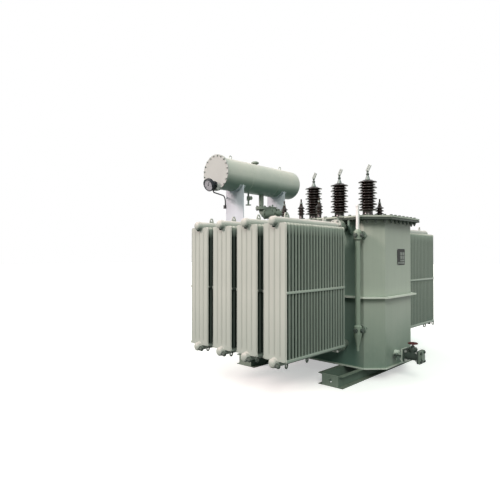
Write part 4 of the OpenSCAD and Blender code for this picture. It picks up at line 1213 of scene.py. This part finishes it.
# %% Plate fields and rivets
FIELDS = ((-0.030, 0.026, 0.018, 0.056), (0.032, 0.088, 0.018, 0.056), (-0.030, 0.026, -0.026, 0.012),
          (0.032, 0.088, -0.026, 0.012), (-0.030, 0.088, -0.054, -0.032), (-0.088, 0.088, -0.080, -0.062))
RIVET = [(0, -0.0005), (0.0055, -0.0005), (0.0055, 0.0005), (0.0045, 0.002), (0.002, 0.003), (0, 0.0032)]
name_low, name_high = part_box("nameplate")
nx, ny, nz = name_high[0], (name_low[1] + name_high[1]) / 2, (name_low[2] + name_high[2]) / 2
fields = [box_shape((nx - 0.0005, ny + left, nz + low), (nx + 0.0008, ny + right, nz + high), 0.0003)
          for left, right, low, high in FIELDS]
finish_shapes("plate_fields", fields, plate_pale, 30)
rivets = [moved(lathe(RIVET, 14), towards((nx, ny + v, nz + w), (1, 0, 0)))
          for v in (-0.094, 0.094) for w in (-0.087, 0.087)]
finish_shapes("plate_rivets", rivets, zinc, 60)

# %% [markdown]
# The drain valve's bonnet has a ring of bolts under the handwheel, and the blank flange has four heads.
# Every butterfly valve has a short flat lever on its spindle, held by a hexagon nut. A plain box would do
# for a lever from afar, but a bevelled one shows the bright line along its edge.

# %% Valve details
vx, vy = (valve_low[0] + valve_high[0]) / 2, (drain_low[1] + drain_high[1]) / 2
vz = (drain_low[2] + drain_high[2]) / 2
places = ring((vx, vy, vz + 0.082), (0, 0, 1), 0.040, 6, 0.2)
bolts("bonnet_bolts", places, 0.013, 0.008, 0.003, bolt_enamel)
BLANK_HALF = 0.048
places = [((valve_high[0] + seat, vy + a, vz + b), (1, 0, 0))
          for a in (-BLANK_HALF, BLANK_HALF) for b in (-BLANK_HALF, BLANK_HALF)]
bolts("blank_flange_bolts", places, 0.025, 0.009, 0.0, iron_enamel)
levers = []
for side in SIDES:
    y = side * (tank_high[1] + RAD_GAP - JOINT - RAD_FLANGE - VALVE_BODY / 2)
    for x in PACK_X:
        for z in (HEADER_Z, UPPER_Z):
            low, high = (x - 0.012, y - 0.009, z + 0.096), (x + 0.078, y + 0.009, z + 0.104)
            levers.append(box_shape(low, high, 0.002))
            levers.append(plug_shape((x, y, z + 0.103), (0, 0, 1), 0.020, 0.010))
finish_shapes("valve_levers", levers, bolt_enamel, 30)

# %% [markdown]
# On the near side of the drain's neck there is a small cock for taking oil samples: a turned body, a
# turned spout that points down, and a flat lever with its nut. Turned profiles suit it, because such
# bodies and spouts are made on a lathe.

# %% Sampling cock
COCK = [(0, 0), (0.012, 0), (0.012, 0.022), (0.018, 0.024), (0.019, 0.030), (0.019, 0.054), (0.015, 0.058),
        (0.008, 0.060), (0.008, 0.068), (0, 0.068)]
SPOUT = [(0, 0), (0.009, 0), (0.009, 0.040), (0.012, 0.042), (0.012, 0.052), (0.009, 0.056), (0, 0.056)]
cock_x, cock_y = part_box("drain_neck")[0][0] + 0.046, vy - 0.036
shapes = [moved(lathe(COCK, 24), towards((cock_x, cock_y, vz), (0, -1, 0))),
          moved(lathe(SPOUT, 20), towards((cock_x, cock_y - 0.042, vz - 0.012), (0, 0, -1)))]
finish_shapes("sampling_cock", shapes, fitting_enamel, 40)
tip = cock_y - 0.064
shapes = [box_shape((cock_x - 0.014, tip - 0.008, vz - 0.009), (cock_x + 0.074, tip, vz + 0.009), 0.002),
          plug_shape((cock_x, tip - 0.007, vz), (0, -1, 0), 0.016, 0.010)]
finish_shapes("sampling_lever", shapes, iron_enamel, 30)

# %% [markdown]
# The drum is rolled from three plates, so two weld seams run round it, and a third bead closes the end
# plate's flange. Short beads join the skids' channels to their end plates. The same bead function makes
# them all.

# %% Drum and skid welds
DRUM_R = 0.226
turns = [2 * math.pi * i / 64 for i in range(64)]
SEAMS = ((-0.285, 0.0005, 0.0032), (0.290, 0.0005, 0.0032), (plate_low[1] + 0.031, 0.001, 0.004))
beads = []
for y, proud, thick in SEAMS:
    r = DRUM_R + proud
    beads.append(bead([(drum_x + r * math.cos(a), y, drum_z + r * math.sin(a)) for a in turns], thick, True))
finish_shapes("drum_welds", beads, drum_enamel, 60)
CHANNEL_HALF, END_IN, WELD_FOOT, WELD_TOP = 0.097, 0.013, 0.006, 0.120
skid_low, skid_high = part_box("skid_end_plates")
beads = []
for side in SIDES:
    for way in SIDES:
        x = side * SKID_X + way * CHANNEL_HALF
        for y in (skid_low[1] + END_IN, skid_high[1] - END_IN):
            beads.append(bead([(x, y, WELD_FOOT), (x, y, WELD_TOP)], BEAD_R))
finish_shapes("skid_welds", beads, skid_enamel, 60)

# %% [markdown]
# The floor is one flat pale sheet, far larger than the unit. To the camera and in reflections it is
# lifted to white, by the Light Path node, and it still takes the unit's soft shadow. To the light that
# bounces off it, it is a dull ground, so the undersides stay as dark as they are outdoors.


# %% Floor
def seen_directly(tree):
    rays = add(tree, "ShaderNodeLightPath").outputs
    seen = calc(tree, "MAXIMUM", rays["Is Camera Ray"], rays["Is Transmission Ray"])
    return calc(tree, "MAXIMUM", seen, rays["Is Glossy Ray"])


FLOOR_HALF, FLOOR_GLOW = 60.0, 0.45
material, tree, shader, place = new_material("studio_paper")
shader.inputs["Roughness"].default_value = 0.9
seen = seen_directly(tree)
tree.links.new(blend(tree, seen, linear("#434642"), linear("#e6e6e4")), shader.inputs["Base Color"])
shader.inputs["Emission Color"].default_value = (1, 1, 1, 1)
tree.links.new(calc(tree, "MULTIPLY", seen, FLOOR_GLOW), shader.inputs["Emission Strength"])
floor_shape = bmesh.new()
bmesh.ops.create_grid(floor_shape, x_segments=1, y_segments=1, size=FLOOR_HALF)
floor_mesh = bpy.data.meshes.new("studio_floor")
floor_shape.to_mesh(floor_mesh)
floor_shape.free()
floor_mesh.materials.append(material)
floor = bpy.data.objects.new("studio_floor", floor_mesh)
bpy.context.collection.objects.link(floor)
floor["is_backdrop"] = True
print("floor", [round(v) for v in floor.dimensions[:2]], "m")

# %% [markdown]
# The photograph shows soft daylight: a warm sun from the front left lights the fins' faces, the open sky
# fills the rest with a cooler green, and the end wall is half lit. The sky is a world that is bright
# overhead and dim at the horizon, and white where it is seen directly. Two wide suns do the rest, because
# a sun's light is even over the whole unit, where a lamp close by would fade along it.

# %% Sky
HORIZON, OVERHEAD = 0.13, 1.05
world = bpy.data.worlds.new("studio_sky")
bpy.context.scene.world = world
world.use_nodes = True
sky = world.node_tree
sky.nodes.clear()
height = along(sky, add(sky, "ShaderNodeTexCoord").outputs["Generated"], "Z")
level = ramp(sky, height, 0.0, 0.9, HORIZON, OVERHEAD)
dim = add(sky, "ShaderNodeBackground", [(level, "Strength")], in_Color=linear("#e2f4ea"))
white = add(sky, "ShaderNodeBackground", in_Strength=1.0, in_Color=(1, 1, 1, 1))
both = add(sky, "ShaderNodeMixShader", [(seen_directly(sky), 0), (dim.outputs[0], 1), (white.outputs[0], 2)])
add(sky, "ShaderNodeOutputWorld", [(both.outputs[0], "Surface")])
print("sky nodes:", len(sky.nodes))

# %% [markdown]
# The first sun is the warm one from the front left. The second stands in for the bright sky at the front
# right, which lights the end wall and the corner cuts. Both are wide, so their shadows have soft edges.


# %% Suns
def sun(name, place, energy, degrees, colour):
    data = bpy.data.lights.new(name, "SUN")
    data.energy = energy
    data.color = linear(colour)[:3]
    data.angle = math.radians(degrees)
    holder = bpy.data.objects.new(name, data)
    holder.location = place
    holder.rotation_euler = (Vector((0, 0, 1.0)) - Vector(place)).to_track_quat("-Z", "Y").to_euler()
    bpy.context.collection.objects.link(holder)
    print(name, "strength", energy)


sun("key_sun", (-3.2, -6.4, 4.6), 2.65, 20, "#ffe5e3")
sun("side_sky", (4.3, -4.3, 6.0), 1.30, 26, "#f8f4ee")

# %% [markdown]
# The camera stands where the photographer stood. Its lens and place come from fitting the tank's and the
# radiators' straight edges, and the focal length is the fitted one in pixels, turned to millimetres.

# %% Camera
FOCAL_PX, PHOTO_PX, SENSOR = 435.88, 500, 36.0
AZIMUTH, TILT = math.radians(43.53), math.radians(0.6165)
STANDPOINT = (3.22, -4.918, 1.404)
camera_data = bpy.data.cameras.new("camera")
camera_data.sensor_fit = "HORIZONTAL"
camera_data.sensor_width = SENSOR
camera_data.lens = FOCAL_PX / PHOTO_PX * SENSOR
camera = bpy.data.objects.new("camera", camera_data)
camera.location = STANDPOINT
camera.rotation_euler = (math.radians(90) + TILT, 0.0, AZIMUTH)
bpy.context.collection.objects.link(camera)
bpy.context.scene.camera = camera
bpy.context.scene.view_settings.view_transform = "Standard"
print("lens", round(camera_data.lens, 1), "mm")

# %% [markdown]
# Last, the box of the dressed unit is printed.

# %% Sizes and the end
low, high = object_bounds()
print("visual box", [round(v, 3) for v in low], [round(v, 3) for v in high])
